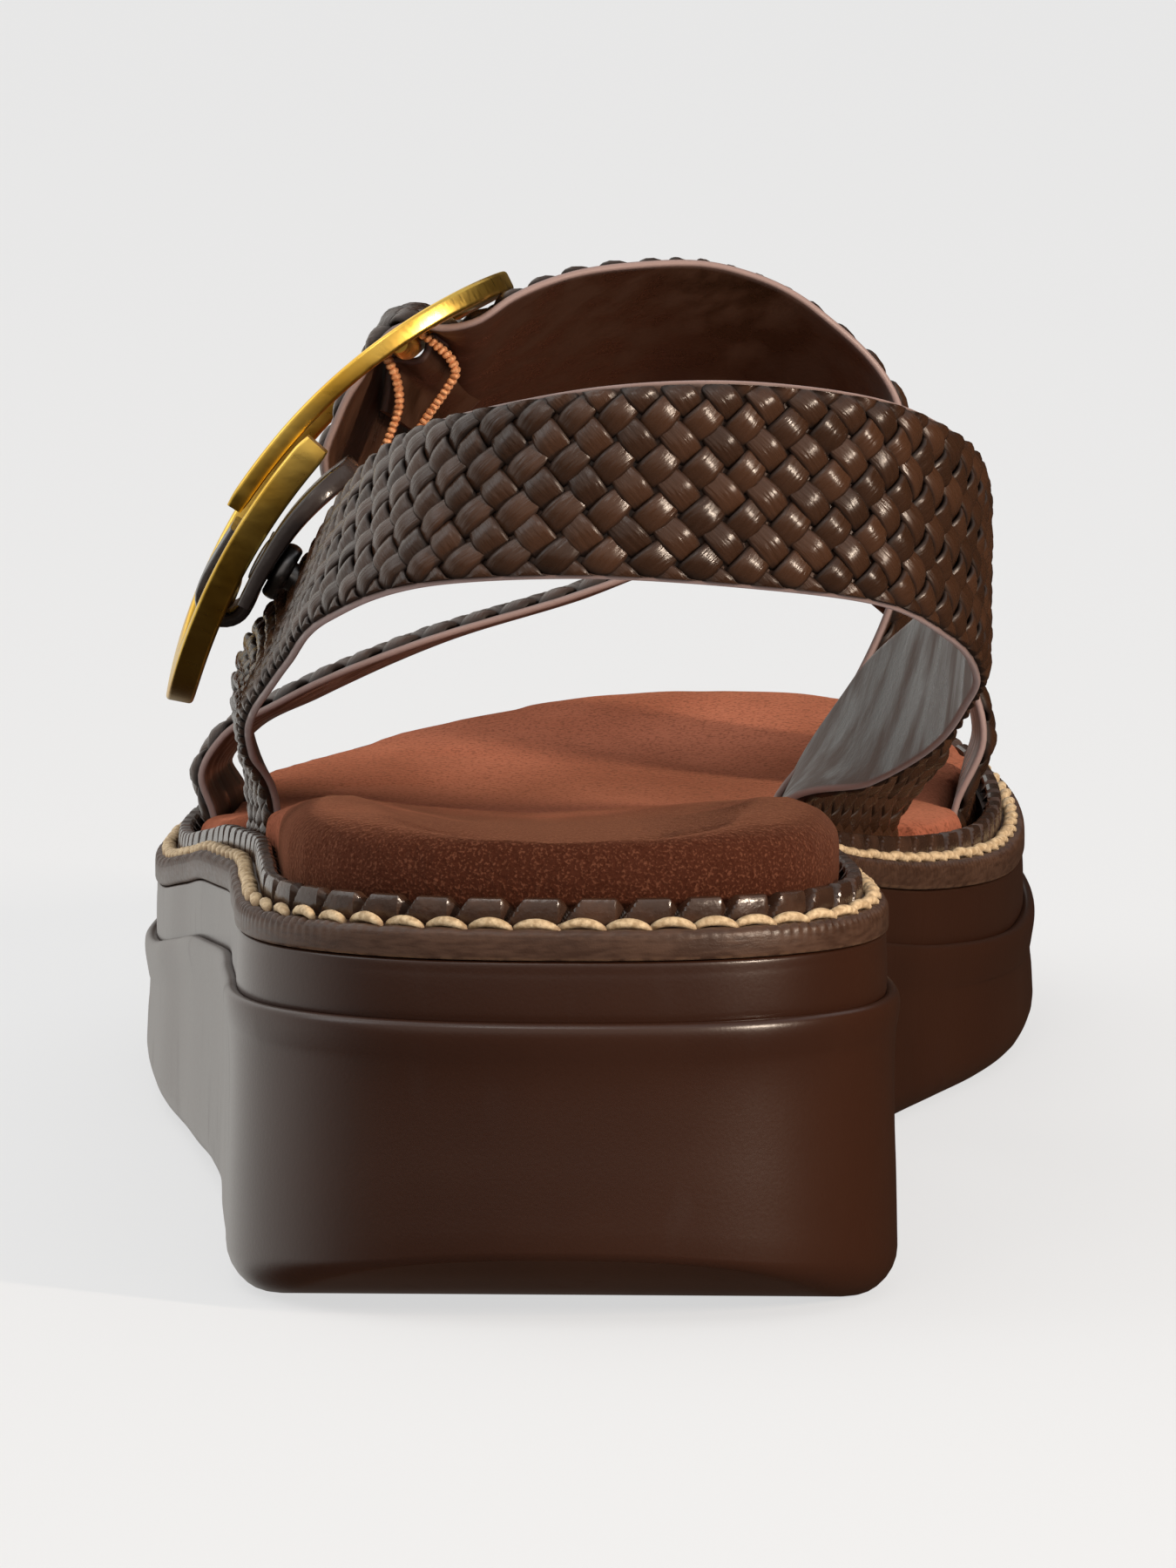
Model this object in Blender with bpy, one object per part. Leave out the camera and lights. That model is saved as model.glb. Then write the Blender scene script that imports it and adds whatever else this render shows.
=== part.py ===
"""Flatform sandal, left shoe: two-tier moulded sole, stitched welt, padded footbed,
plaited sling, instep and toe straps, and an open oval buckle on the outer side.

Sizes are in millimetres and are turned into metres when a mesh is made. The origin is
on the floor under the middle of the heel, +Y runs from heel to toe, +X is the inner
(medial) side of the foot and +Z is up.
"""
import bpy
import bmesh
import numpy as np
from math import pi, radians

MM = 0.001
CLEAR = 0.3                 # gap between two pieces that touch

# Sole
HEEL_BACK = -32.0           # rearmost point of the sole
TOE_TIP = 230.0             # foremost point of the sole
HEEL_ROUND = 33.0           # length over which the heel closes in plan
HEEL_SQUARENESS = 2.45      # exponent of the heel's plan curve
TOE_ROUND = 72.0            # length over which the toe closes in plan
TOE_SQUARENESS = 2.1
SIDE_STEPS = 42             # divisions along each side of a plan outline

# Plan of the sole, a row for each section: place along the foot, middle, half width
PLAN_SECTIONS = np.array([
    # y,      middle, half
    (-32.0,  -0.2,   33.6),
    (1.0,    -1.3,   33.7),
    (20.0,   -2.9,   33.7),
    (42.0,   -5.1,   33.3),
    (58.0,   -7.0,   33.8),
    (74.0,   -8.3,   35.2),
    (88.0,   -8.8,   37.0),
    (105.0,  -8.5,   40.6),
    (120.0,  -7.3,   43.8),
    (135.0,  -5.9,   46.7),
    (148.0,  -5.0,   48.3),
    (163.0,  -4.0,   48.8),
    (180.0,  -1.9,   48.6),
    (203.0,   3.0,   47.5),
    (230.0,   8.4,   47.0),
])

# Side view of the sole: underside (with the bevel at the back of the heel, the waist
# and the toe spring), ledge between the tiers, top of the welt
HEIGHT_SECTIONS = np.array([
    # y,      under, ledge, top
    (-32.0,   7.0,   30.2,  39.4),
    (-24.0,   3.6,   30.1,  39.3),
    (-16.0,   0.9,   29.9,  39.1),
    (-10.0,   0.0,   29.8,  39.0),
    (1.0,     0.0,   29.5,  38.7),
    (23.0,    0.0,   28.2,  37.4),
    (42.0,    0.6,   27.0,  36.2),
    (60.0,    0.9,   25.3,  34.5),
    (78.0,    0.3,   23.5,  32.7),
    (93.0,    0.0,   21.1,  30.3),
    (116.0,   0.0,   17.6,  26.8),
    (138.0,   0.0,   15.5,  24.7),
    (153.0,   0.0,   14.7,  23.9),
    (183.0,   1.6,   15.4,  24.6),
    (230.0,   8.0,   20.0,  29.2),
])

TIER_INSET = 1.1            # the upper tier stands in from the lower block
LIP = 0.7                   # rim of the lower block round the foot of the upper tier
WELT_THICK = 3.1
WELT_INNER = 5.6            # inset of the welt's inner edge from the sole's outline
RAND_OUTER = 3.6
RAND_INNER = 5.2
RAND_HEIGHT = 2.6
FOOTBED_SIDE = 6.0
UNDER, WAIST, LEDGE, TOP = range(4)     # levels of the side view; WAIST is halfway to LEDGE

# Lower block from the treads up: flat tread, rolled edge, slightly hollow wall, soft lip
OUTSOLE_RINGS = (
    # inset, level, height above it
    (2.2,    UNDER,  0.0),
    (0.7,    UNDER,  0.6),
    (0.0,    UNDER,  2.2),
    (0.3,    WAIST,  0.0),
    (0.75,   LEDGE, -3.0),
    (0.45,   LEDGE, -1.4),
    (0.5,    LEDGE, -0.3),
    (TIER_INSET - CLEAR, LEDGE, 0.2),
    (TIER_INSET - CLEAR, LEDGE, 0.2 - LIP),
)

# Upper tier, from the foot that stands in the lip to the shoulder under the welt
MIDSOLE_RINGS = (
    (TIER_INSET + 0.4, LEDGE, 0.2 - LIP + CLEAR),
    (TIER_INSET,       LEDGE, 0.4),
    (TIER_INSET + 0.1, TOP, -WELT_THICK - CLEAR - 0.5),
    (TIER_INSET + 0.5, TOP, -WELT_THICK - CLEAR),
)

# Corners of the welt's section, up its outer edge and down its inner one
WELT_RINGS = (
    (TIER_INSET + 0.4, TOP, -WELT_THICK),
    (TIER_INSET - 0.1, TOP, -WELT_THICK + 0.5),
    (TIER_INSET - 0.1, TOP, -0.8),
    (TIER_INSET + 0.6, TOP, 0.0),
    (WELT_INNER,       TOP, 0.0),
    (WELT_INNER,       TOP, -WELT_THICK),
)

# Corners of the rand's section
RAND_RINGS = (
    (RAND_OUTER,       TOP, CLEAR),
    (RAND_OUTER + 0.1, TOP, RAND_HEIGHT - 0.5),
    (RAND_OUTER + 0.6, TOP, RAND_HEIGHT),
    (RAND_INNER,       TOP, RAND_HEIGHT),
    (RAND_INNER,       TOP, CLEAR),
)

# Rolled edge of the footbed, from the rand up: how far it stands in from FOOTBED_SIDE,
# and its share of the height from the rand to the crest
FOOTBED_ROLL = ((0.0, 0.0), (-0.9, 0.3), (-0.3, 0.66), (1.6, 0.91), (4.6, 1.0))
FOOTBED_ACROSS = (0.12, 0.3, 0.5, 0.7, 0.88)    # places of the hollow's points across the top
FOOTBED_FLAT = 2.5          # exponent of the hollow's section: higher is flatter in the middle
HOLLOW_FADE = 4             # divisions over which the hollow fades at the heel and the toe

# Padded footbed, above the top of the welt: crest of its rolled edge, sink of its middle
FOOTBED_SECTIONS = np.array([
    # y,      crest, sink
    (-32.0,   9.6,   4.0),
    (0.0,     9.8,   4.6),
    (30.0,    8.0,   3.6),
    (60.0,    5.8,   1.6),
    (110.0,   5.0,   0.8),
    (230.0,   5.2,   0.6),
])

# Straps
STRAP_THICK = 1.8
STRAP_INSET = 7.0           # from the sole's outline to a strap's wall where it enters
SLING_INSET = 7.8           # the same for the sling's inner end
INSTEP_INSET = 8.8          # the instep strap's foot is a straight line inside the hollow waist
TUCK_LIFT = 0.4             # hidden end of a strap above the midsole
SLOT_DEPTH = 2.0            # a slot's guide reaches this far below the hidden end
SLOT_OPEN = 3.0             # and this far outwards, so that the slot opens to the side
SLOT_CLEAR = 0.5            # room left round a strap in its slot
SLING_STEPS = 72            # divisions along each strap
INSTEP_STEPS = 64
TOE_STEPS = 44
SLOT_STEPS = 14             # divisions along a slot's guide
RIM_LIFT = 3.6              # a strap leaves its slot this far above the welt
LATERAL = -1
MEDIAL = 1

# Sling, from its outer end round the back of the ankle to the inner waist:
# lower edge, then upper edge
SLING_ROWS = [
    # lower x, y,     z,      upper x, y,     z
    (-35.5,   44.0,   47.2,  -37.6,   63.5,   52.5),   # outer side, rising
    (-34.0,   25.0,   54.2,  -31.2,   41.0,   64.7),
    (-31.7,   15.5,   57.9,  -27.0,   30.0,   70.7),   # under the rivet
    (-29.4,   6.0,    61.4,  -23.9,   18.0,   76.6),
    (-24.2,  -12.0,   68.1,  -17.4,  -3.5,    84.6),
    (-13.7,  -25.5,   73.0,  -9.0,   -21.5,   89.2),
    (2.0,    -29.5,   74.2,   4.0,   -27.5,   92.0),   # back of the ankle
    (18.0,   -26.5,   73.0,   17.6,  -25.0,   92.3),
    (31.7,   -20.0,   70.5,   31.0,  -17.0,   89.9),
    (37.9,   -8.0,    65.9,   37.8,  -5.0,    85.7),
    (40.6,    8.0,    60.2,   40.6,   15.0,   79.3),   # inner side, falling
    (39.3,   23.0,    55.2,   39.3,   35.5,   71.2),
    (36.2,   37.0,    49.5,   35.6,   52.0,   62.2),
    (29.0,   52.0,    43.3,   27.0,   68.5,   51.5),
]
SLING_OUTER_TUCK = (58.0, 78.0)      # y of the lower and upper edge at the footbed
SLING_INNER_TUCK = (60.0, 79.0)

# Instep strap, from the inner waist over the instep towards the buckle:
# rear edge, then front edge
INSTEP_ROWS = [
    # rear x,  y,     z,      front x, y,     z
    (24.5,    75.0,   46.0,   35.6,   127.5,  37.5),
    (31.5,    73.5,   62.0,   35.6,   121.0,  45.5),
    (31.2,    72.0,   80.0,   30.6,   111.5,  54.0),
    (22.5,    69.5,   90.5,   20.5,   103.0,  63.5),
    (14.0,    63.5,   95.2,   12.0,   93.5,   73.8),
    (5.5,     55.0,   96.4,   4.0,    83.0,   82.6),
    (-2.5,    48.5,   95.6,  -5.0,    80.5,   80.6),
    (-8.8,    44.0,   93.3,  -12.0,   77.0,   79.6),
]
INSTEP_TUCK = (75.0, 129.0)

# Toe strap, outer side to inner side: rear edge, then front edge
TOE_ROWS = [
    # rear x,  y,     z,      front x, y,     z
    (-47.2,   138.0,  32.9,  -46.2,   169.0,  31.0),
    (-45.0,   138.5,  37.3,  -43.0,   169.5,  35.0),
    (-38.2,   140.0,  41.5,  -36.0,   171.5,  38.5),
    (-24.0,   143.0,  47.4,  -22.0,   174.5,  44.5),
    (-8.3,    145.5,  52.0,  -7.0,    177.0,  49.0),
    (5.0,     147.5,  55.9,   5.5,    179.0,  53.2),
    (18.0,    149.5,  56.2,   18.0,   181.0,  53.5),
    (30.0,    151.0,  51.8,   29.5,   181.5,  49.0),
    (38.0,    152.0,  43.5,   36.8,   181.5,  40.0),
    (40.0,    152.5,  35.5,   38.8,   181.5,  33.6),
]
TOE_OUTER_TUCK = (138.5, 169.0)
TOE_INNER_TUCK = (153.0, 181.5)

# Buckle. Its plan is an open oval bent round the outer side of the ankle. A place on it
# is given by `along` (down the bend from its top), y, and `out` (away from the foot).
BEND_RADIUS = 62.0
BEND_START = radians(25.0)  # slope of the bend at its top
BEND_TOP = (-8.5, 96.9)     # x, z of the top of the bend
BEND_REAR = 31.0            # y at which the bend's places are true; forward of it, per mm:
BEND_SWING = 0.04           # the buckle swings down the bend,
TWIST_TOP = -0.065          # and leans towards the foot at its top,
TWIST_RATE = 0.0018         # less and less down the bend
BUCKLE_Y = 53.5             # middle of the oval across the strap
OVAL_TOP = 1.6              # place along the bend of the oval's upper limb
OVAL_HALF_LENGTH = 26.7
OVAL_HALF_WIDTH = 21.0
OVAL_SQUARENESS = 2.8
OVAL_START = radians(-2.7)  # turn of the oval's two free ends, which pass each other at the rear
OVAL_END = radians(370.0)
OVAL_SPREAD = 1.6           # the ends part by this, each way, in plan
OVAL_RISE = 1.45            # and by this, each way, in thickness
BAND_WIDTH = 4.8
OVAL_OUT = -0.3             # middle of the oval from the bend
START_THICK = 3.1           # the band thins evenly from its start, at the lower limb,
END_THICK = 1.9             # to its end, at the upper limb
BAND_BEVEL = 0.5
BAND_STEPS = 52             # divisions round the oval
UPPER_BAR = (12.3, -0.7)    # along, out
LOWER_BAR = (45.5, -2.3)
BAR_RADIUS = 1.1

# The instep strap's end: under the top of the oval, over the upper bar and on inside the oval
STRAP_END_ROWS = [
    # rear along, y, out,  front along, y, out
    (6.0,    42.5,  -3.0,  13.6,   71.0,   -7.6),
    (8.2,    42.5,  -0.4,   9.6,   67.0,   -3.4),
    (9.6,    42.5,   1.8,   9.4,   65.0,    0.8),
    (12.3,   42.5,   3.0,  12.3,   64.5,    3.2),
    (14.7,   42.5,   2.2,  14.9,   65.0,    1.6),
    (16.6,   42.5,   0.7,  16.8,   66.5,   -1.6),
    (18.2,   42.5,  -0.5,  18.4,   68.0,   -4.6),
    (20.4,   42.5,  -1.3,  20.4,   69.0,   -7.0),
    (23.5,   42.5,  -1.8,  23.5,   69.0,   -8.8),
    (27.2,   42.5,  -2.2,  27.2,   69.0,  -10.2),
]

# Chape: a leather plate under the buckle, and the loop that holds the lower bar
CHAPE_THICK = 1.5
CHAPE_OUT = -4.4
# Places (along, out) down the plate, from its top, which leans towards the sling, to its foot
CHAPE_PLATE = ((24.0, -5.6), (28.0, -5.0), (33.0, -4.5), (38.8, CHAPE_OUT), (44.0, CHAPE_OUT))
CHAPE_REAR = 24.5           # y of the plate's rear edge
CHAPE_FRONT = 41.0
LOOP_REAR = 39.2            # y of the loop's rear edge, clear of the oval's band
LOOP_FRONT = 57.0
LOOP_GAP = 1.6 * CLEAR      # room round the lower bar inside the loop
LOOP_START = 8.0            # the loop leaves the plate this far above the lower bar,
LOOP_BEND = 4.0             # bends out from it here,
LOOP_LEVEL = 3.5            # comes back level outside the bar here
LOOP_END = 7.0              # and ends here

# Rivet, on an axis square to the chape
RIVET_ALONG = 38.8
RIVET_Y = 29.0
RIVET_SHANK = 1.5           # radius
RIVET_COLLAR = 3.1          # radius of the domed collar between chape and sling
RIVET_CAP = 3.0             # radius of the cap inside the sling
RIVET_CROWN = 1.0           # thickness of the cap
RIVET_ROUND = 0.5           # the collar's and the cap's edges stand in by this
RIVET_SIDES = 14
RIVET_HOLE = 1.9            # radius of its holes
HOLE_OVERRUN = 1.5          # a hole's guide passes through its layer by this
SLING_FACE = 2.7            # depth from the chape's inner face to the sling's outer face

ELASTIC_THICK = 0.8
ELASTIC_REAR = 44.0
ELASTIC_FRONT = 49.0
ELASTIC_DROP = 0.35         # its front edge lies this much lower
ELASTIC_STEPS = 54
# Elastic loop: up from the sling, round the upper bar and down again, in side-on places
ELASTIC_ROWS = [
    # x,     z
    (-31.2,  60.2),
    (-27.9,  66.7),
    (-23.9,  74.2),
    (-20.9,  80.0),
    (-19.8,  83.6),
    (-20.2,  86.4),
    (-21.05, 88.5),
    (-20.6,  90.5),
    (-19.0,  91.3),
    (-17.2,  90.6),
    (-15.6,  89.3),
    (-14.4,  88.0),
    (-14.0,  86.8),
    (-14.8,  85.3),
    (-17.0,  82.1),
    (-20.8,  75.3),
    (-24.9,  68.3),
    (-28.2,  62.3),
    (-29.5,  59.9),
]

# Tread: straight channels across the underside
CHANNEL_DEPTH = 1.2
CHANNEL_WIDTH = 2.4
HEEL_CHANNELS = (-8.0, 8.0, 15.0, 22.0)
FORE_CHANNELS = (99.0, 108.0, 117.0, 135.0, 144.0)
CHANNEL_MARGIN = 9.0        # plain border between a channel's end and the outline


def cubic(table, at):
    """Smooth curve through the rows of a table; column 0 is the place, the rest are read at `at`."""
    place, value = table[:, 0], table[:, 1:]
    step = np.diff(place)
    rise = np.diff(value, axis=0) / step[:, None]
    inner = (rise[:-1] * step[1:, None] + rise[1:] * step[:-1, None]) / (step[1:] + step[:-1])[:, None]
    slope = np.vstack([rise[:1], inner, rise[-1:]])
    at = np.atleast_1d(at)
    row = np.clip(np.searchsorted(place, at, side="right") - 1, 0, len(place) - 2)
    s = ((at - place[row]) / step[row])[:, None]
    h = step[row][:, None]
    return ((2 * s**3 - 3 * s**2 + 1) * value[row] + (s**3 - 2 * s**2 + s) * h * slope[row]
            + (3 * s**2 - 2 * s**3) * value[row + 1] + (s**3 - s**2) * h * slope[row + 1])


def spaced(points, count):
    """The same open curve with `count` evenly spaced points."""
    length = np.append(0.0, np.cumsum(np.linalg.norm(np.diff(points, axis=0), axis=1)))
    at = np.linspace(0.0, length[-1], count)
    return np.column_stack([np.interp(at, length, column) for column in points.T])


def plan_side(side):
    """One side of the sole's plan, heel centre to toe centre."""
    turn = np.linspace(0.0, pi, 1200)
    y = HEEL_BACK + (TOE_TIP - HEEL_BACK) * (1 - np.cos(turn)) / 2
    middle, half = cubic(PLAN_SECTIONS, y).T
    heel = np.clip(1 - (y - HEEL_BACK) / HEEL_ROUND, 0, 1)
    toe = np.clip(1 - (TOE_TIP - y) / TOE_ROUND, 0, 1)
    width = half * (1 - heel**HEEL_SQUARENESS)**(1 / HEEL_SQUARENESS)
    width = width * (1 - toe**TOE_SQUARENESS)**(1 / TOE_SQUARENESS)
    return np.column_stack([middle + side * width, y])


def plan_outline(inset):
    """Closed plan curve moved inwards: out along the outer side, back along the inner side."""
    outer = spaced(plan_side(LATERAL), SIDE_STEPS + 1)
    inner = spaced(plan_side(MEDIAL), SIDE_STEPS + 1)
    curve = np.vstack([outer, inner[-2:0:-1]])
    along = np.roll(curve, -1, axis=0) - np.roll(curve, 1, axis=0)
    along /= np.linalg.norm(along, axis=1)[:, None]
    inward = np.column_stack([along[:, 1], -along[:, 0]])
    return curve + inset * inward


def heights(y):
    """Underside, ledge and welt top at each y; no part of the underside is below the floor."""
    return np.maximum(cubic(HEIGHT_SECTIONS, y).T, 0.0)


def at_edge(side, y, inset, lift):
    """Point on the footbed's edge at a given y: `inset` from the outline, `lift` above the welt."""
    curve = plan_outline(inset)
    half = curve[:SIDE_STEPS + 1] if side == LATERAL else np.vstack([curve[:1], curve[:SIDE_STEPS - 1:-1]])
    x = np.interp(y, half[:, 1], half[:, 0])
    return (x, y, heights(y)[2][0] + lift)


def material(name, colour, roughness, metallic=0.0):
    """Principled material."""
    new = bpy.data.materials.new(name)
    new.use_nodes = True
    shader = new.node_tree.nodes["Principled BSDF"]
    shader.inputs["Base Color"].default_value = (*colour, 1.0)
    shader.inputs["Roughness"].default_value = roughness
    shader.inputs["Metallic"].default_value = metallic
    return new


def make_object(name, points, faces, finish):
    """Closed mesh object with its faces pointing out, from points in millimetres."""
    mesh = bpy.data.meshes.new(name)
    mesh.from_pydata((np.asarray(points) * MM).tolist(), [], faces)
    work = bmesh.new()
    work.from_mesh(mesh)
    bmesh.ops.recalc_face_normals(work, faces=work.faces)
    work.to_mesh(mesh)
    work.free()
    mesh.shade_smooth()
    mesh.set_sharp_from_angle(angle=radians(35))
    if finish is not None:
        mesh.materials.append(finish)
    thing = bpy.data.objects.new(name, mesh)
    bpy.context.scene.collection.objects.link(thing)
    return thing


def cut(thing, cutter, operation="DIFFERENCE"):
    """Boolean of a thing with a hidden guide."""
    cutter.hide_render = True
    cutter.display_type = "WIRE"
    step = thing.modifiers.new(cutter.name, "BOOLEAN")
    step.operation = operation
    step.solver = "EXACT"
    step.object = cutter


def band_faces(start_a, start_b, count):
    """Quads between two closed rings of `count` points."""
    k = np.arange(count)
    n = (k + 1) % count
    return np.column_stack([start_a + k, start_a + n, start_b + n, start_b + k]).tolist()


def cap_faces(start):
    """Strips straight across a plan outline, outer side to inner side."""
    count = 2 * SIDE_STEPS
    faces = [(start, start + 1, start + count - 1)]
    for k in range(1, SIDE_STEPS - 1):
        faces.append((start + k, start + k + 1, start + count - k - 1, start + count - k))
    faces.append((start + SIDE_STEPS - 1, start + SIDE_STEPS, start + SIDE_STEPS + 1))
    return faces


def sole_ring(inset, level, lift):
    """Ring on the plan outline moved in by `inset`, `lift` above one of the levels."""
    flat = plan_outline(inset)
    under, ledge, top = heights(flat[:, 1])
    base = (under, (under + ledge) / 2, ledge, top)[level]
    return np.column_stack([flat, base + lift])


def solid_of_rings(name, rings, finish):
    """Slab: stacked plan rings with both ends closed by strips across."""
    count = 2 * SIDE_STEPS
    faces = cap_faces(0) + cap_faces((len(rings) - 1) * count)
    for r in range(len(rings) - 1):
        faces += band_faces(r * count, (r + 1) * count, count)
    return make_object(name, np.vstack(rings), faces, finish)


def ring_strip(name, rings, finish):
    """Frame that runs round the plan: the rings are the corners of its section."""
    count = 2 * SIDE_STEPS
    faces = []
    for r in range(len(rings)):
        faces += band_faces(r * count, (r + 1) % len(rings) * count, count)
    return make_object(name, np.vstack(rings), faces, finish)


def box_faces(start):
    """Faces of a box whose eight corners count x fastest, then y, then z."""
    sides = [(0, 2, 3, 1), (4, 5, 7, 6), (0, 1, 5, 4), (2, 6, 7, 3), (0, 4, 6, 2), (1, 3, 7, 5)]
    return [tuple(start + corner for corner in side) for side in sides]


def make_outsole(finish):
    """Lower block with the channels cut in its treads."""
    block = solid_of_rings("outsole", [sole_ring(*row) for row in OUTSOLE_RINGS], finish)
    cut(block, make_channels())
    return block


def make_channels():
    """Guide made of the bars that cut the tread's channels."""
    curve = plan_outline(CHANNEL_MARGIN)
    outer = curve[:SIDE_STEPS + 1]
    inner = np.vstack([curve[:1], curve[:SIDE_STEPS - 1:-1]])
    points, faces = [], []
    for y in HEEL_CHANNELS + FORE_CHANNELS:
        left = np.interp(y, outer[:, 1], outer[:, 0])
        right = np.interp(y, inner[:, 1], inner[:, 0])
        faces += box_faces(len(points))
        points += [(x, y + dy * CHANNEL_WIDTH / 2, z) for z in (-3.0, CHANNEL_DEPTH)
                   for dy in (-1, 1) for x in (left, right)]
    return make_object("tread_guide", points, faces, None)


def make_midsole(finish):
    """Upper tier: stands in the lip of the lower block and carries the welt."""
    return solid_of_rings("midsole", [sole_ring(*row) for row in MIDSOLE_RINGS], finish)


def make_welt(finish):
    """Welt: flat strip round the whole sole."""
    return ring_strip("welt", [sole_ring(*row) for row in WELT_RINGS], finish)


def make_rand(finish):
    """Rand: upright bead between the stitched welt and the footbed."""
    return ring_strip("rand", [sole_ring(*row) for row in RAND_RINGS], finish)


def footbed_ring(inset, share, lift):
    """Ring of the footbed `share` of the way from its lowest roll to its crest."""
    flat = plan_outline(inset)
    top = heights(flat[:, 1])[2]
    crest = cubic(FOOTBED_SECTIONS, flat[:, 1])[:, 0]
    return np.column_stack([flat, top + lift + share * (crest - lift)])


def make_footbed(finish, straps):
    """Padded footbed: puffed roll round its edge, hollow heel cup, slots for the strap ends."""
    rings = [sole_ring(FOOTBED_SIDE, TOP, -WELT_THICK)]
    rings += [footbed_ring(FOOTBED_SIDE + move, share, RAND_HEIGHT + CLEAR) for move, share in FOOTBED_ROLL]
    count = 2 * SIDE_STEPS
    points = np.vstack(rings)
    faces = cap_faces(0)
    for r in range(len(rings) - 1):
        faces += band_faces(r * count, (r + 1) * count, count)
    across = np.array(FOOTBED_ACROSS)
    edge = rings[-1]
    first = (len(rings) - 1) * count
    rows = [[first] * (len(across) + 2)]
    extra = []
    for k in range(1, SIDE_STEPS):
        left, right = edge[k], edge[count - k]
        fade = min(1.0, k / HOLLOW_FADE, (SIDE_STEPS - k) / HOLLOW_FADE)
        sink = cubic(FOOTBED_SECTIONS, left[1])[0, 1] * fade
        dome = left + (right - left) * across[:, None]
        dome[:, 2] -= sink * (1 - np.abs(2 * across - 1)**FOOTBED_FLAT)
        start = len(points) + len(extra)
        rows.append([first + k, *range(start, start + len(across)), first + count - k])
        extra += dome.tolist()
    rows.append([first + SIDE_STEPS] * (len(across) + 2))
    for near, far in zip(rows[:-1], rows[1:]):
        for corners in zip(near[:-1], near[1:], far[1:], far[:-1]):
            faces.append(tuple(dict.fromkeys(corners)))
    pad = make_object("footbed", np.vstack([points, extra]), faces, finish)
    for guide in straps:
        cut(pad, guide)
    return pad


def ribbon(name, rows, outer, inner, steps, finish, across=3, margin=0.0):
    """Strap: a ruled sheet between the two edges in `rows`, given walls `outer` and `inner`
    from its middle surface, with `margin` added at both edges."""
    rows = np.asarray(rows, dtype=float)
    edge_a, edge_b = rows[:, :3], rows[:, 3:]
    reach = edge_b - edge_a
    reach = margin * reach / np.linalg.norm(reach, axis=1)[:, None]
    edge_a, edge_b = edge_a - reach, edge_b + reach
    middle = (edge_a + edge_b) / 2
    length = np.append(0.0, np.cumsum(np.linalg.norm(np.diff(middle, axis=0), axis=1)))
    at = np.linspace(0.0, length[-1], steps + 1)
    line_a = cubic(np.column_stack([length, edge_a]), at)
    line_b = cubic(np.column_stack([length, edge_b]), at)
    share = np.linspace(0.0, 1.0, across + 1)[None, :, None]
    sheet = line_a[:, None] * (1 - share) + line_b[:, None] * share
    normal = np.cross(np.gradient(sheet, axis=0), np.gradient(sheet, axis=1))
    normal /= np.linalg.norm(normal, axis=2)[..., None]
    points = np.vstack([(sheet + normal * outer).reshape(-1, 3), (sheet - normal * inner).reshape(-1, 3)])
    wide = across + 1
    back = (steps + 1) * wide
    faces = []
    for i in range(steps):
        for j in range(across):
            a = i * wide + j
            faces.append((a, a + 1, a + wide + 1, a + wide))
            faces.append((back + a, back + a + wide, back + a + wide + 1, back + a + 1))
        for a in (i * wide, i * wide + across):
            faces.append((a, a + wide, back + a + wide, back + a))
    for j in range(across):
        for a in (j, steps * wide + j):
            faces.append((a, a + 1, back + a + 1, back + a))
    return make_object(name, points, faces, finish)


def tuck(side, edges, inset, down, deeper):
    """Two rows of a strap's end: at the rim of the slot and at its hidden foot."""
    rim = [*at_edge(side, edges[0], inset, RIM_LIFT), *at_edge(side, edges[1], inset, RIM_LIFT)]
    foot = -WELT_THICK + TUCK_LIFT - deeper
    hidden = [*at_edge(side, edges[0], inset, foot), *at_edge(side, edges[1], inset, foot)]
    return [rim, hidden] if down else [hidden, rim]


def on_buckle(along, y, out):
    """Point in the buckle's bent frame, which swings and twists as y grows."""
    ahead = y - BEND_REAR
    along = along + BEND_SWING * ahead
    out = out + (TWIST_TOP + TWIST_RATE * along) * ahead
    slope = BEND_START + along / BEND_RADIUS
    x = BEND_TOP[0] - BEND_RADIUS * (np.sin(slope) - np.sin(BEND_START)) - out * np.sin(slope)
    z = BEND_TOP[1] - BEND_RADIUS * (np.cos(BEND_START) - np.cos(slope)) + out * np.cos(slope)
    return x, y, z


def sling_rows(deeper=0.0):
    """Sling from its outer tuck to its inner tuck."""
    return (tuck(LATERAL, SLING_OUTER_TUCK, STRAP_INSET, False, deeper) + SLING_ROWS
            + tuck(MEDIAL, SLING_INNER_TUCK, SLING_INSET, True, deeper))


def instep_rows(deeper=0.0):
    """Instep strap from its tuck at the inner waist to its end inside the buckle."""
    ends = [[*on_buckle(*row[:3]), *on_buckle(*row[3:])] for row in STRAP_END_ROWS]
    return tuck(MEDIAL, INSTEP_TUCK, INSTEP_INSET, False, deeper) + INSTEP_ROWS + ends


def toe_rows(deeper=0.0):
    """Toe strap from its outer tuck to its inner tuck."""
    return (tuck(LATERAL, TOE_OUTER_TUCK, STRAP_INSET, False, deeper) + TOE_ROWS
            + tuck(MEDIAL, TOE_INNER_TUCK, STRAP_INSET, True, deeper))


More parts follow.
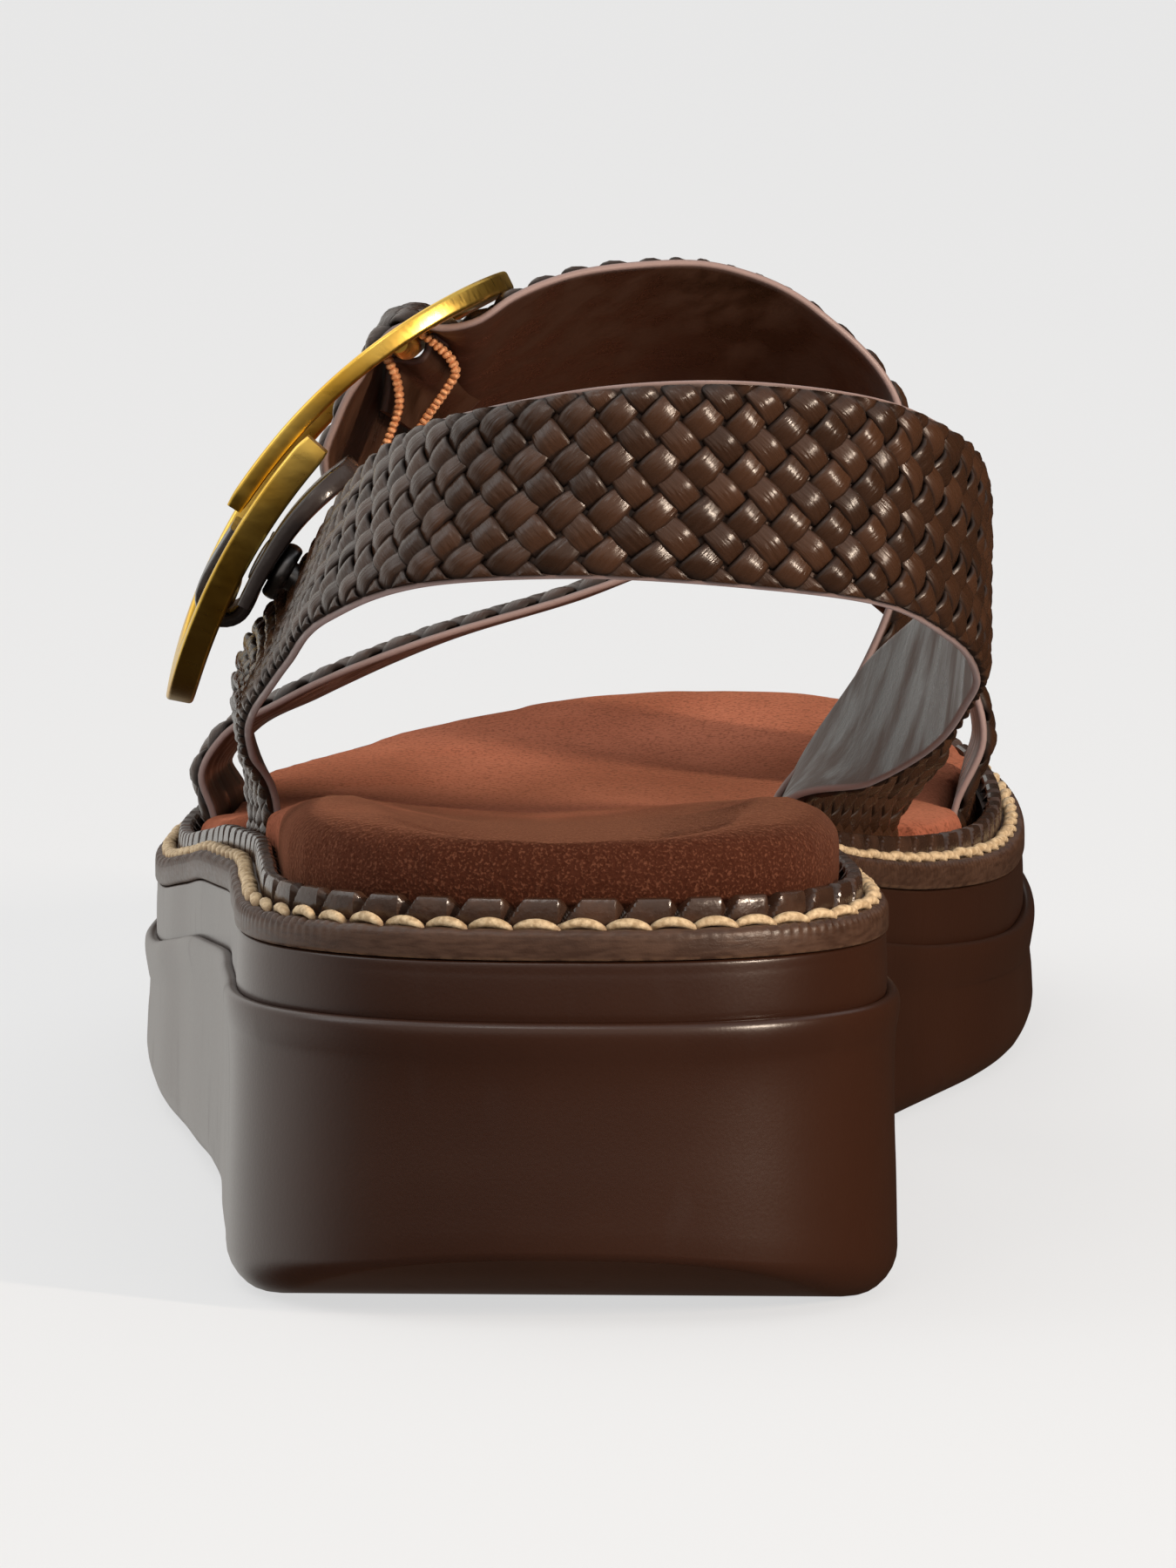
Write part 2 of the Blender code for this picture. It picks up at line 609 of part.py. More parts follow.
def make_straps(finish):
    """Upper (sling and instep strap made one) and toe strap, with their slot guides."""
    half = STRAP_THICK / 2
    upper = ribbon("upper", sling_rows(), half, half, SLING_STEPS, finish)
    instep = ribbon("instep_guide", instep_rows(), half, half, INSTEP_STEPS, finish)
    cut(upper, instep, "UNION")
    face = CHAPE_THICK + SLING_FACE
    cut(upper, make_rivet_hole("sling_hole_guide", face, face + STRAP_THICK))
    ribbon("toe_strap", toe_rows(), half, half, TOE_STEPS, finish)
    from_front = [[*row[3:], *row[:3]] for row in instep_rows(SLOT_DEPTH)[:4]]
    guides = []
    for name, rows in (("sling_outer_slot", sling_rows(SLOT_DEPTH)[:4]),
                       ("sling_inner_slot", sling_rows(SLOT_DEPTH)[-4:]),
                       ("instep_slot", from_front),
                       ("toe_outer_slot", toe_rows(SLOT_DEPTH)[:4]),
                       ("toe_inner_slot", toe_rows(SLOT_DEPTH)[-4:])):
        guides.append(ribbon(name, rows, half + SLOT_OPEN, half + SLOT_CLEAR, SLOT_STEPS, None,
                             margin=SLOT_CLEAR))
    return guides


def make_buckle(finish):
    """Open oval ring whose ends overlap at the rear, with two cross bars."""
    passed = np.linspace(0.0, 1.0, BAND_STEPS + 1)
    turn = OVAL_START + (OVAL_END - OVAL_START) * passed
    power = 2 / OVAL_SQUARENESS
    sine, cosine = np.sin(turn), np.cos(turn)
    along = OVAL_TOP + OVAL_HALF_LENGTH * (1 + np.sign(sine) * np.abs(sine)**power)
    y = -OVAL_HALF_WIDTH * np.sign(cosine) * np.abs(cosine)**power
    path = np.column_stack([along, y])
    tangent = np.gradient(path, axis=0)
    tangent /= np.linalg.norm(tangent, axis=1)[:, None]
    outward = np.column_stack([tangent[:, 1], -tangent[:, 0]])
    outward *= np.sign(np.sum(outward * (path - (OVAL_TOP + OVAL_HALF_LENGTH, 0)), axis=1))[:, None]
    path = path + outward * (OVAL_SPREAD * (1 - 2 * passed))[:, None]
    out = OVAL_OUT + OVAL_RISE * (2 * passed - 1)
    thick = START_THICK + (END_THICK - START_THICK) * passed
    w = BAND_WIDTH / 2
    flat = w - BAND_BEVEL
    section = [(-flat, -1), (flat, -1), (w, -0.6), (w, 0.6), (flat, 1), (-flat, 1), (-w, 0.6), (-w, -0.6)]
    points = []
    for place, side, rise, depth in zip(path, outward, out, thick):
        for wide, high in section:
            a, b = place + side * wide
            points.append(on_buckle(a, BUCKLE_Y + b, rise + high * depth / 2))
    count = len(section)
    faces = []
    for k in range(BAND_STEPS):
        faces += band_faces(k * count, (k + 1) * count, count)
    faces.append(tuple(range(count)))
    faces.append(tuple(range(BAND_STEPS * count, (BAND_STEPS + 1) * count)))
    ring = make_object("buckle", points, faces, finish)
    for name, (place, rise) in (("upper_bar_guide", UPPER_BAR), ("lower_bar_guide", LOWER_BAR)):
        cut(ring, make_bar(name, place, rise, finish), "UNION")
    return ring


def make_bar(name, along, out, finish):
    """Round bar across the buckle, its ends inside the band on both sides."""
    share = abs((along - OVAL_TOP) / OVAL_HALF_LENGTH - 1)
    reach = OVAL_HALF_WIDTH * (1 - share**OVAL_SQUARENESS)**(1 / OVAL_SQUARENESS)
    sides = 10
    turn = 2 * pi * (np.arange(sides) + 0.5) / sides
    points = [np.array(on_buckle(along, BUCKLE_Y + end * reach, out))
              + BAR_RADIUS * np.array((np.cos(a), 0.0, np.sin(a))) for end in (-1, 1) for a in turn]
    faces = band_faces(0, sides, sides) + [tuple(range(sides)), tuple(range(sides, 2 * sides))]
    return make_object(name, points, faces, finish)


def buckle_strip(name, places, rear, front, thick, finish, steps, across=2):
    """Strip across the buckle, through places given as (along, out)."""
    rows = [[*on_buckle(along, rear, out), *on_buckle(along, front, out)] for along, out in places]
    return ribbon(name, rows, thick / 2, thick / 2, steps, finish, across)


def make_chape(finish):
    """Chape: plate under the buckle with a round-topped end, and the loop round the lower bar."""
    plate = buckle_strip("chape", CHAPE_PLATE, CHAPE_REAR, CHAPE_FRONT, CHAPE_THICK, finish, 10)
    along, out = LOWER_BAR
    radius = BAR_RADIUS + LOOP_GAP + CHAPE_THICK / 2
    round_bar = [(along + radius * np.sin(a), out - radius * np.cos(a))
                 for a in np.linspace(0.0, pi, 7)]
    shift = CHAPE_OUT - (out - radius)
    start = [(along - LOOP_START, CHAPE_OUT + 0.1), (along - LOOP_BEND, CHAPE_OUT - shift / 2)]
    end = [(along - LOOP_LEVEL, out + radius - 0.1), (along - LOOP_END, out + radius - 0.3)]
    loop = buckle_strip("chape_loop_guide", start + round_bar + end, LOOP_REAR, LOOP_FRONT,
                        CHAPE_THICK, finish, 22)
    cut(plate, loop, "UNION")
    cut(plate, make_rivet_hole("chape_hole_guide", 0.0, CHAPE_THICK))
    return plate


def make_rivet(finish):
    """Rivet: shank through chape and sling, domed collar between them, cap inside the sling."""
    outer = CHAPE_THICK + CLEAR
    inner = CHAPE_THICK + SLING_FACE - 2 * CLEAR
    lining = CHAPE_THICK + SLING_FACE + STRAP_THICK + 2 * CLEAR
    profile = [(0.0, 0.0), (RIVET_SHANK, 0.0), (RIVET_SHANK, outer), (RIVET_COLLAR - RIVET_ROUND, outer),
               (RIVET_COLLAR, (outer + inner) / 2), (RIVET_COLLAR - RIVET_ROUND, inner), (RIVET_SHANK, inner),
               (RIVET_SHANK, lining), (RIVET_CAP, lining),
               (RIVET_CAP - RIVET_ROUND, lining + 0.8 * RIVET_CROWN), (0.0, lining + RIVET_CROWN)]
    return turned("rivet", profile, CHAPE_OUT + CHAPE_THICK / 2, finish)


def make_rivet_hole(name, start, end):
    """Guide that cuts the rivet's hole through one layer, which lies between two depths."""
    start, end = start - HOLE_OVERRUN, end + HOLE_OVERRUN
    profile = [(0.0, start), (RIVET_HOLE, start), (RIVET_HOLE, end), (0.0, end)]
    return turned(name, profile, CHAPE_OUT + CHAPE_THICK / 2, None)


def turned(name, profile, base, finish):
    """Round piece on the rivet's axis; the profile runs inwards from `base`, towards the foot."""
    slope = BEND_START + RIVET_ALONG / BEND_RADIUS
    down = np.array((-np.cos(slope), 0.0, -np.sin(slope)))
    forward = np.array((0.0, 1.0, 0.0))
    points, rings = [], []
    for radius, depth in profile:
        if radius == 0.0:
            rings.append([len(points)])
            points.append(on_buckle(RIVET_ALONG, RIVET_Y, base - depth))
            continue
        rings.append(list(range(len(points), len(points) + RIVET_SIDES)))
        centre = np.array(on_buckle(RIVET_ALONG, RIVET_Y, base - depth))
        for a in 2 * pi * np.arange(RIVET_SIDES) / RIVET_SIDES:
            points.append(centre + radius * (np.cos(a) * down + np.sin(a) * forward))
    faces = []
    for near, far in zip(rings[:-1], rings[1:]):
        for k in range(RIVET_SIDES):
            n = (k + 1) % RIVET_SIDES
            face = (near[k % len(near)], near[n % len(near)], far[n % len(far)], far[k % len(far)])
            faces.append(tuple(dict.fromkeys(face)))
    return make_object(name, points, faces, finish)


def make_elastic(finish):
    """Elastic loop: flat band that runs side on."""
    rows = [[x, ELASTIC_REAR, z, x, ELASTIC_FRONT, z - ELASTIC_DROP] for x, z in ELASTIC_ROWS]
    return ribbon("elastic", rows, ELASTIC_THICK / 2, ELASTIC_THICK / 2, ELASTIC_STEPS, finish, across=1)


for old in list(bpy.data.objects):
    bpy.data.objects.remove(old, do_unlink=True)

sole_brown = material("sole_rubber", (0.062, 0.023, 0.013), 0.38)
welt_brown = material("welt_board", (0.085, 0.045, 0.028), 0.5)
rand_brown = material("rand_leather", (0.045, 0.026, 0.018), 0.35)
suede = material("suede", (0.090, 0.026, 0.013), 0.95)
leather = material("plaited_leather", (0.032, 0.019, 0.014), 0.38)
gold = material("gold_metal", (0.68, 0.42, 0.07), 0.3, 1.0)
steel = material("rivet_metal", (0.12, 0.10, 0.09), 0.3, 1.0)
rubber_band = material("elastic_band", (0.45, 0.17, 0.07), 0.6)

make_outsole(sole_brown)
make_midsole(sole_brown)
make_welt(welt_brown)
make_rand(rand_brown)
slot_guides = make_straps(leather)
make_footbed(suede, slot_guides)
make_buckle(gold)
make_chape(leather)
make_rivet(steel)
make_elastic(rubber_band)
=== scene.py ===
from math import cos, pi, radians, sin

import bmesh
import bpy
import numpy as np
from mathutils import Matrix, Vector


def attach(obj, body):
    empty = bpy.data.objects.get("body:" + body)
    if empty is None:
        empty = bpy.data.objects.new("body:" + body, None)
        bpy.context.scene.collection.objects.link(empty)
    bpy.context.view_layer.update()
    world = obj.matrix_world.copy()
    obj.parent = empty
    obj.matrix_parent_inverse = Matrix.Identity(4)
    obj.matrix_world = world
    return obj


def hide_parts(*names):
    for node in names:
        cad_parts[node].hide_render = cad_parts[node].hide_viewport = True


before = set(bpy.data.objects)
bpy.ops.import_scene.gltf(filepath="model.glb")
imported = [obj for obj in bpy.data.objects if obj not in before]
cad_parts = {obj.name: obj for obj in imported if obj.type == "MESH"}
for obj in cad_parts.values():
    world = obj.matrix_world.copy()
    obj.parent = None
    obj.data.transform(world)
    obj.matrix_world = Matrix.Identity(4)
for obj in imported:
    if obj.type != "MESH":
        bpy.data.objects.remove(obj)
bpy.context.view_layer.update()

# ---------------------------------------------------------------- Camera, floor and light
# A pale studio sweep of painted board runs under the shoe and up behind it. The room has a
# bright window on the left and a pale wall behind the camera, and is dark elsewhere. Soft
# boxes hang overhead and stand round the heel.
EYE = Vector((0.0531, -1.315, 0.2173))
AIM = Vector((-0.0005, 0.050, 0.0435))


def placed(name, data):
    """A new object in the scene."""
    thing = bpy.data.objects.new(name, data)
    bpy.context.scene.collection.objects.link(thing)
    return thing


camera_data = bpy.data.cameras.new("camera")
camera_data.lens = 305.0
camera_data.sensor_width = 36.0
camera_data.clip_end = 20.0
camera = placed("camera", camera_data)
camera.location = EYE
camera.rotation_euler = (AIM - EYE).to_track_quat("-Z", "Y").to_euler()
bpy.context.scene.camera = camera
bpy.context.scene.view_settings.view_transform = "Standard"


def softbox(name, place, target, size, power, colour=(1.0, 1.0, 1.0)):
    """Rectangular lamp at `place` that faces `target`."""
    lamp = bpy.data.lights.new(name, "AREA")
    lamp.shape = "RECTANGLE"
    lamp.size, lamp.size_y = size
    lamp.energy = power
    lamp.color = colour
    thing = placed(name, lamp)
    thing.location = place
    thing.rotation_euler = (Vector(target) - Vector(place)).to_track_quat("-Z", "Y").to_euler()


softbox("overhead_box", (0.0, 0.6, 3.0), (0.0, 0.6, 0.0), (8.0, 8.0), 112.0)
softbox("left_box", (-1.0, -0.2, 0.7), (0.0, 0.05, 0.04), (0.6, 0.6), 1.6, (0.94, 0.98, 1.0))
softbox("rear_box", (-0.3, -1.1, 1.6), (0.0, 0.0, 0.05), (0.5, 0.5), 3.0, (1.0, 0.96, 0.90))
softbox("right_strip", (0.95, -0.62, 0.42), (0.02, 0.0, 0.06), (0.05, 0.24), 14.5, (1.0, 0.82, 0.66))


def grid_faces(rows, columns, close_rows=False, close_columns=False):
    """Quads of a grid of vertices numbered row by row; a closed direction joins last to first."""
    i = np.arange(rows if close_rows else rows - 1)[:, None]
    j = np.arange(columns if close_columns else columns - 1)[None, :]
    ahead, beside = (i + 1) % rows, (j + 1) % columns
    quads = np.stack(np.broadcast_arrays(i * columns + j, i * columns + beside,
                                         ahead * columns + beside, ahead * columns + j), axis=-1)
    return quads.reshape(-1, 4)


def enclosed(points, groups):
    """Six times the volume inside the faces: the sum of a . (b x c) over their triangles."""
    total = 0.0
    for faces in groups:
        for k in range(1, faces.shape[1] - 1):
            a, b, c = points[faces[:, 0]], points[faces[:, k]], points[faces[:, k + 1]]
            total += np.sum(a * np.cross(b, c))
    return total


def put(name, points, groups, finish, sharp=40.0, uv=None, **values):
    """Mesh object from points in millimetres and arrays of faces. On a closed mesh the faces
    are turned where needed so that they enclose a positive volume. `uv` and the named
    values are given for each vertex."""
    points = np.asarray(points, dtype=float).reshape(-1, 3)
    middle = points.mean(axis=0)
    groups = [np.asarray(faces) for faces in groups]
    if enclosed(points - middle, groups) < 0:
        groups = [faces[:, ::-1] for faces in groups]
    mesh = bpy.data.meshes.new(name)
    mesh.from_pydata(points * 0.001, [], [face for faces in groups for face in faces.tolist()])
    for key, value in values.items():
        layer = mesh.attributes.new(key, "FLOAT", "POINT")
        layer.data.foreach_set("value", np.broadcast_to(value, len(points)).astype(np.float32))
    if uv is not None:
        corner = np.empty(len(mesh.loops), np.int32)
        mesh.loops.foreach_get("vertex_index", corner)
        layer = mesh.uv_layers.new(name="strand")
        layer.data.foreach_set("uv", np.asarray(uv, np.float32).reshape(-1, 2)[corner].ravel())
    mesh.shade_smooth()
    mesh.set_sharp_from_angle(angle=radians(sharp))
    mesh.materials.append(finish)
    return placed(name, mesh)


class Wire:
    """A shader socket. + - and * on it add Math nodes, with numbers on either side."""

    def __init__(self, tree, socket=None):
        self.tree = tree
        self.socket = socket

    def node(self, kind, settings, inputs, out=0):
        """Add a node: its settings first, then a value or a link for each input."""
        new = self.tree.nodes.new(kind)
        for key, value in settings.items():
            setattr(new, key, value)
        for key, value in inputs.items():
            if isinstance(value, Wire):
                self.tree.links.new(value.socket, new.inputs[key])
            else:
                new.inputs[key].default_value = value
        return Wire(self.tree, new.outputs[out])

    def maths(self, operation, a, b):
        """a and b joined by one Math node."""
        return self.node("ShaderNodeMath", {"operation": operation}, {0: a, 1: b})

    def __add__(self, other):
        return self.maths("ADD", self, other)

    def __sub__(self, other):
        return self.maths("SUBTRACT", self, other)

    def __rsub__(self, other):
        return self.maths("SUBTRACT", other, self)

    def __mul__(self, other):
        return self.maths("MULTIPLY", self, other)

    __radd__ = __add__
    __rmul__ = __mul__

    def between(self, low, high):
        """0 below `low`, 1 above `high`, smooth between."""
        return self.node("ShaderNodeMapRange", {"interpolation_type": "SMOOTHSTEP"},
                         {"Value": self, "From Min": low, "From Max": high})

    def mix(self, a, b):
        """Colour a where this is 0, colour b where it is 1."""
        a, b = (v if isinstance(v, Wire) else (*v, 1.0) for v in (a, b))
        return self.node("ShaderNodeMix", {"data_type": "RGBA"}, {0: self, 6: a, 7: b}, 2)

    def axis(self, name):
        """One part of this vector: X, Y or Z."""
        return self.node("ShaderNodeSeparateXYZ", {}, {0: self}, name)

    def place(self):
        """Object coordinates, in metres."""
        return self.node("ShaderNodeTexCoord", {}, {}, "Object")

    def value(self, name):
        """A number kept for each vertex."""
        return self.node("ShaderNodeAttribute", {"attribute_name": name}, {}, "Fac")

    def noise(self, scale, detail=2.0, stretch=(1.0, 1.0, 1.0)):
        """Noise of about `scale` lumps a metre, stretched along an axis by 1 / its number."""
        spread = self.node("ShaderNodeVectorMath", {"operation": "MULTIPLY"},
                           {0: self.place(), 1: stretch})
        return self.node("ShaderNodeTexNoise", {}, {"Vector": spread, "Scale": scale, "Detail": detail})

    def bump(self, height, depth):
        """Normal from a height that runs from 0 to 1 and is `depth` millimetres deep."""
        return self.node("ShaderNodeBump", {},
                         {"Height": height, "Distance": depth * 0.001, "Strength": 1.0})


def finish(name, constants, recipe):
    """Principled material. Constants go straight on its sockets; `recipe` takes an empty wire
    and returns what varies, as socket: wire."""
    made = bpy.data.materials.new(name)
    made.use_nodes = True
    shader = made.node_tree.nodes["Principled BSDF"]
    for socket, value in constants.items():
        shader.inputs[socket].default_value = value
    for socket, wire in recipe(Wire(made.node_tree)).items():
        made.node_tree.links.new(wire.socket, shader.inputs[socket])
    return made


DARK_ROOM, PALE_WALL, BRIGHT_WINDOW = (0.026, 0.019, 0.014), (0.66, 0.60, 0.54), (0.86, 0.85, 0.81)
world = bpy.data.worlds.new("studio")
world.use_nodes = True
towards = Wire(world.node_tree).node("ShaderNodeTexCoord", {}, {}, "Generated")
leftward, forward, upward = 0.0 - towards.axis("X"), towards.axis("Y"), towards.axis("Z")
window = leftward.between(-0.02, 0.30) * forward.between(-0.75, 0.30) * upward.between(-0.60, -0.25)
behind = (0.0 - forward).between(0.20, 0.85) * upward.between(-0.10, 0.15)
room = window.mix(behind.mix(DARK_ROOM, PALE_WALL), BRIGHT_WINDOW)
world.node_tree.links.new(room.socket, world.node_tree.nodes["Background"].inputs["Color"])
bpy.context.scene.world = world


def painted(w):
    """Even pale grey with a faint cloud, so that it isn't dead flat."""
    return {"Base Color": w.noise(2.0).mix((0.185, 0.187, 0.190), (0.193, 0.195, 0.198))}


SWEEP_REACH, SWEEP_HALF_WIDTH, SWEEP_BEND = 5000.0, 6000.0, 1500.0
sweep_paint = finish("sweep_paint", {"Roughness": 0.9, "Specular IOR Level": 0.0, "Emission Strength": 0.80,
                                     "Emission Color": (0.8, 0.8, 0.8, 1.0)}, painted)
turn = np.linspace(0.0, pi / 2, 25)
bend_y = SWEEP_REACH - SWEEP_BEND * (1 - np.sin(turn))
sweep_y = np.concatenate([[-SWEEP_REACH], bend_y, [SWEEP_REACH]])
sweep_z = np.concatenate([[0.0], SWEEP_BEND * (1 - np.cos(turn)), [SWEEP_REACH]])
across = np.array([-SWEEP_HALF_WIDTH, 0.0, SWEEP_HALF_WIDTH])
sweep = np.stack(np.broadcast_arrays(across[None, :], sweep_y[:, None], sweep_z[:, None]), axis=-1)
floor = put("studio_sweep", sweep, [grid_faces(len(sweep_y), 3)[:, ::-1]], sweep_paint)
floor.visible_glossy = False

# ---------------------------------------------------------------- Lower block of the sole
# The thick lower tier of the flatform, moulded in one piece of brown rubber with a satin
# skin. Its foot is rolled, the back of the heel is cut up to a crease, a soft shoulder
# runs round its top, and channels cross the tread.
HEEL_BACK, HEEL_ROUND, HEEL_SQUARENESS = -32.0, 33.0, 2.45
TOE_TIP, TOE_ROUND, TOE_SQUARENESS = 230.0, 72.0, 2.1
PLAN_SECTIONS = np.array([
    # y, middle, half width
    (-32.0, -0.2, 33.6), (1.0, -1.3, 33.7), (20.0, -2.9, 33.7), (42.0, -5.1, 33.3),
    (58.0, -7.0, 33.8), (74.0, -8.3, 35.2), (88.0, -8.8, 37.0), (105.0, -8.5, 40.6),
    (120.0, -7.3, 43.8), (135.0, -5.9, 46.7), (148.0, -5.0, 48.3), (163.0, -4.0, 48.8),
    (180.0, -1.9, 48.6), (203.0, 3.0, 47.5), (230.0, 8.4, 47.0),
])
HEIGHT_SECTIONS = np.array([
    # y, underside, ledge between the tiers, top of the welt
    (-32.0, 7.0, 30.2, 39.4), (-24.0, 3.6, 30.1, 39.3), (-16.0, 0.9, 29.9, 39.1),
    (-10.0, 0.0, 29.8, 39.0), (1.0, 0.0, 29.5, 38.7), (23.0, 0.0, 28.2, 37.4),
    (42.0, 0.6, 27.0, 36.2), (60.0, 0.9, 25.3, 34.5), (78.0, 0.3, 23.5, 32.7),
    (93.0, 0.0, 21.1, 30.3), (116.0, 0.0, 17.6, 26.8), (138.0, 0.0, 15.5, 24.7),
    (153.0, 0.0, 14.7, 23.9), (183.0, 1.6, 15.4, 24.6), (230.0, 8.0, 20.0, 29.2),
])
CHANNELS = (-8.0, 8.0, 15.0, 22.0, 99.0, 108.0, 117.0, 135.0, 144.0)
CHANNEL_DEPTH, CHANNEL_WIDTH, CHANNEL_MARGIN = 1.2, 2.4, 9.0
FOOT_ROLL, CREASE_ROLL, WALL_RINGS = 3.8, 0.7, 34


def unit(vectors):
    """The vectors along the last axis, each divided by its length."""
    return vectors / np.linalg.norm(vectors, axis=-1)[..., None]


def run_along(line):
    """The length run so far at each point of a line."""
    return np.append(0.0, np.cumsum(np.linalg.norm(np.diff(line, axis=0), axis=1)))


def curve_through(table, at):
    """Smooth curve through a table's rows, column 0 being the place: between two rows it is the
    cubic whose end slopes are the weighted means of the chords on both sides of each row."""
    place, value = table[:, 0], table[:, 1:]
    step = np.diff(place)
    rise = np.diff(value, axis=0) / step[:, None]
    inner = (rise[:-1] * step[1:, None] + rise[1:] * step[:-1, None]) / (step[1:] + step[:-1])[:, None]
    slope = np.vstack([rise[:1], inner, rise[-1:]])
    at = np.atleast_1d(at)
    row = np.clip(np.searchsorted(place, at, side="right") - 1, 0, len(place) - 2)
    s = ((at - place[row]) / step[row])[:, None]
    h = step[row][:, None]
    return ((2 * s**3 - 3 * s**2 + 1) * value[row] + (s**3 - 2 * s**2 + s) * h * slope[row]
            + (3 * s**2 - 2 * s**3) * value[row + 1] + (s**3 - s**2) * h * slope[row + 1])


def plan_side(side, count):
    """One side of the plan, heel to toe, evenly spaced: x = middle + side * half width, closed
    at each end by the factor (1 - t^p)^(1/p), where t runs from 1 at the tip to 0."""
    y = HEEL_BACK + (TOE_TIP - HEEL_BACK) * (1 - np.cos(np.linspace(0.0, pi, 1600))) / 2
    middle, half = curve_through(PLAN_SECTIONS, y).T
    heel = np.clip(1 - (y - HEEL_BACK) / HEEL_ROUND, 0, 1)
    toe = np.clip(1 - (TOE_TIP - y) / TOE_ROUND, 0, 1)
    width = half * (1 - heel**HEEL_SQUARENESS)**(1 / HEEL_SQUARENESS)
    width = width * (1 - toe**TOE_SQUARENESS)**(1 / TOE_SQUARENESS)
    line = np.column_stack([middle + side * width, y])
    length = run_along(line)
    at = np.linspace(0.0, length[-1], count)
    return np.column_stack([np.interp(at, length, column) for column in line.T])


def closed_plan(half_count):
    """The whole plan as a closed curve, out along the outer side and back along the inner side:
    points, unit normals that point inwards, and the length run so far."""
    curve = np.vstack([plan_side(-1, half_count + 1), plan_side(1, half_count + 1)[-2:0:-1]])
    along = unit(np.roll(curve, -1, axis=0) - np.roll(curve, 1, axis=0))
    return curve, np.column_stack([along[:, 1], -along[:, 0]]), run_along(curve)


def heights(y):
    """Underside, ledge and welt top at each y, never below the floor."""
    return np.maximum(curve_through(HEIGHT_SECTIONS, np.ravel(y)).T, 0.0).reshape(3, *np.shape(y))


def sole_rings(plan, inset, weights, add):
    """Rings round the plan. Ring r lies inset[r] inside it, at the height
    weights[r] . (underside, ledge, top) + add[r]; inset and add may vary round the ring."""
    curve, inward, _ = plan
    inset = np.broadcast_to(inset, (len(inset), len(curve)))
    flat = curve[None] + inset[..., None] * inward[None]
    level = heights(flat[..., 1])
    z = np.einsum("rk,krn->rn", np.broadcast_to(weights, (len(inset), 3)), level) + add
    return np.concatenate([flat, z[..., None]], axis=-1)


def lid(ring, first, new, shares):
    """Grid that closes a ring with rows from its outer side to its inner side. Row k joins
    point k to point count - k through `shares`; `new` numbers the first added vertex.
    Returns the added points and the faces."""
    count = len(ring)
    half = count // 2
    left, right = ring[1:half], ring[count - 1:half:-1]
    added = left[:, None] + (right - left)[:, None] * shares[None, :, None]
    number = new + np.arange(added.shape[0] * len(shares)).reshape(added.shape[0], -1)
    rows = np.column_stack([first + np.arange(1, half), number, first + np.arange(count - 1, half, -1)])
    quads = np.stack([rows[:-1, :-1], rows[:-1, 1:], rows[1:, 1:], rows[1:, :-1]], axis=-1)
    ends = [np.column_stack([np.full(rows.shape[1] - 1, tip), row[:-1][::turn], row[1:][::turn]])
            for tip, row, turn in ((first, rows[0][::-1], 1), (first + half, rows[-1], 1))]
    return added.reshape(-1, 3), quads.reshape(-1, 4), np.vstack(ends)


def smooth(low, high, x):
    """0 below `low`, 1 above `high`, smooth between: 3t^2 - 2t^3."""
    t = np.clip((x - low) / (high - low), 0, 1)
    return t * t * (3 - 2 * t)


def slab(name, rings, shares, under, coat):
    """Closed slab: rings stacked from the bottom up, with a lid at each end. `under` takes the
    x, y of the bottom lid's points and gives how far they are lifted."""
    levels, count, _ = rings.shape
    walls = grid_faces(levels, count, close_columns=True)
    bottom, quads, ends = lid(rings[0], 0, levels * count, shares)
    bottom[:, 2] += under(bottom)
    top, top_quads, top_ends = lid(rings[-1], (levels - 1) * count, levels * count + len(bottom),
                                   np.array([0.25, 0.5, 0.75]))
    points = np.vstack([rings.reshape(-1, 3), bottom, top])
    groups = [walls, quads, ends, top_quads[:, ::-1], top_ends[:, ::-1]]
    return put(name, points, groups, coat)


def satin_rubber(w):
    """Warm brown with faint clouds of bloom, a fine moulded grain and a few rubbed patches."""
    cloud = w.noise(28.0, 4.0)
    grain = w.noise(2600.0, 3.0)
    rubbed = w.noise(160.0, 5.0, (1.0, 1.0, 0.35)).between(0.55, 0.8)
    return {"Base Color": cloud.between(0.3, 0.7).mix((0.026, 0.0082, 0.0036), (0.033, 0.0110, 0.0050)),
            "Roughness": 0.27 + rubbed * 0.07 + grain * 0.05,
            "Normal": w.bump(grain, 0.012)}


sole_rubber = finish("sole_rubber", {"Specular IOR Level": 0.50}, satin_rubber)
plan = closed_plan(330)
roll = np.linspace(0.0, pi / 2, 8)[:-1]
round_foot = CREASE_ROLL + (FOOT_ROLL - CREASE_ROLL) * smooth(-31.0, -16.0, plan[0][:, 1])
wall = curve_through(np.array([
    # step, inset, of underside, of ledge, added
    (0, 0.00, 1.00, 0.00, FOOT_ROLL), (1, 0.15, 0.70, 0.30, 2.4), (2, 0.30, 0.50, 0.50, 1.0),
    (3, 0.38, 0.25, 0.75, -0.9), (4, 0.26, 0.00, 1.00, -4.4), (5, 0.02, 0.00, 1.00, -3.0),
    (6, -0.16, 0.00, 1.00, -1.8), (7, -0.18, 0.00, 1.00, -0.9), (8, -0.04, 0.00, 1.00, -0.32),
    (9, 0.34, 0.00, 1.00, 0.02), (10, 0.90, 0.00, 1.00, 0.02), (11, 1.60, 0.00, 1.00, -0.4),
]), np.linspace(0.0, 11.0, WALL_RINGS))
inset = np.vstack([round_foot * (1 - np.sin(roll))[:, None], np.tile(wall[:, :1], len(plan[0]))])
fading = np.clip(1 - np.arange(WALL_RINGS)[:, None] / 9, 0, 1)
added = np.vstack([round_foot * (1 - np.cos(roll))[:, None],
                   wall[:, 3:] + (round_foot - FOOT_ROLL) * fading])
weights = np.vstack([np.tile((1.0, 0.0, 0.0), (len(roll), 1)), np.pad(wall[:, 1:3], ((0, 0), (0, 1)))])
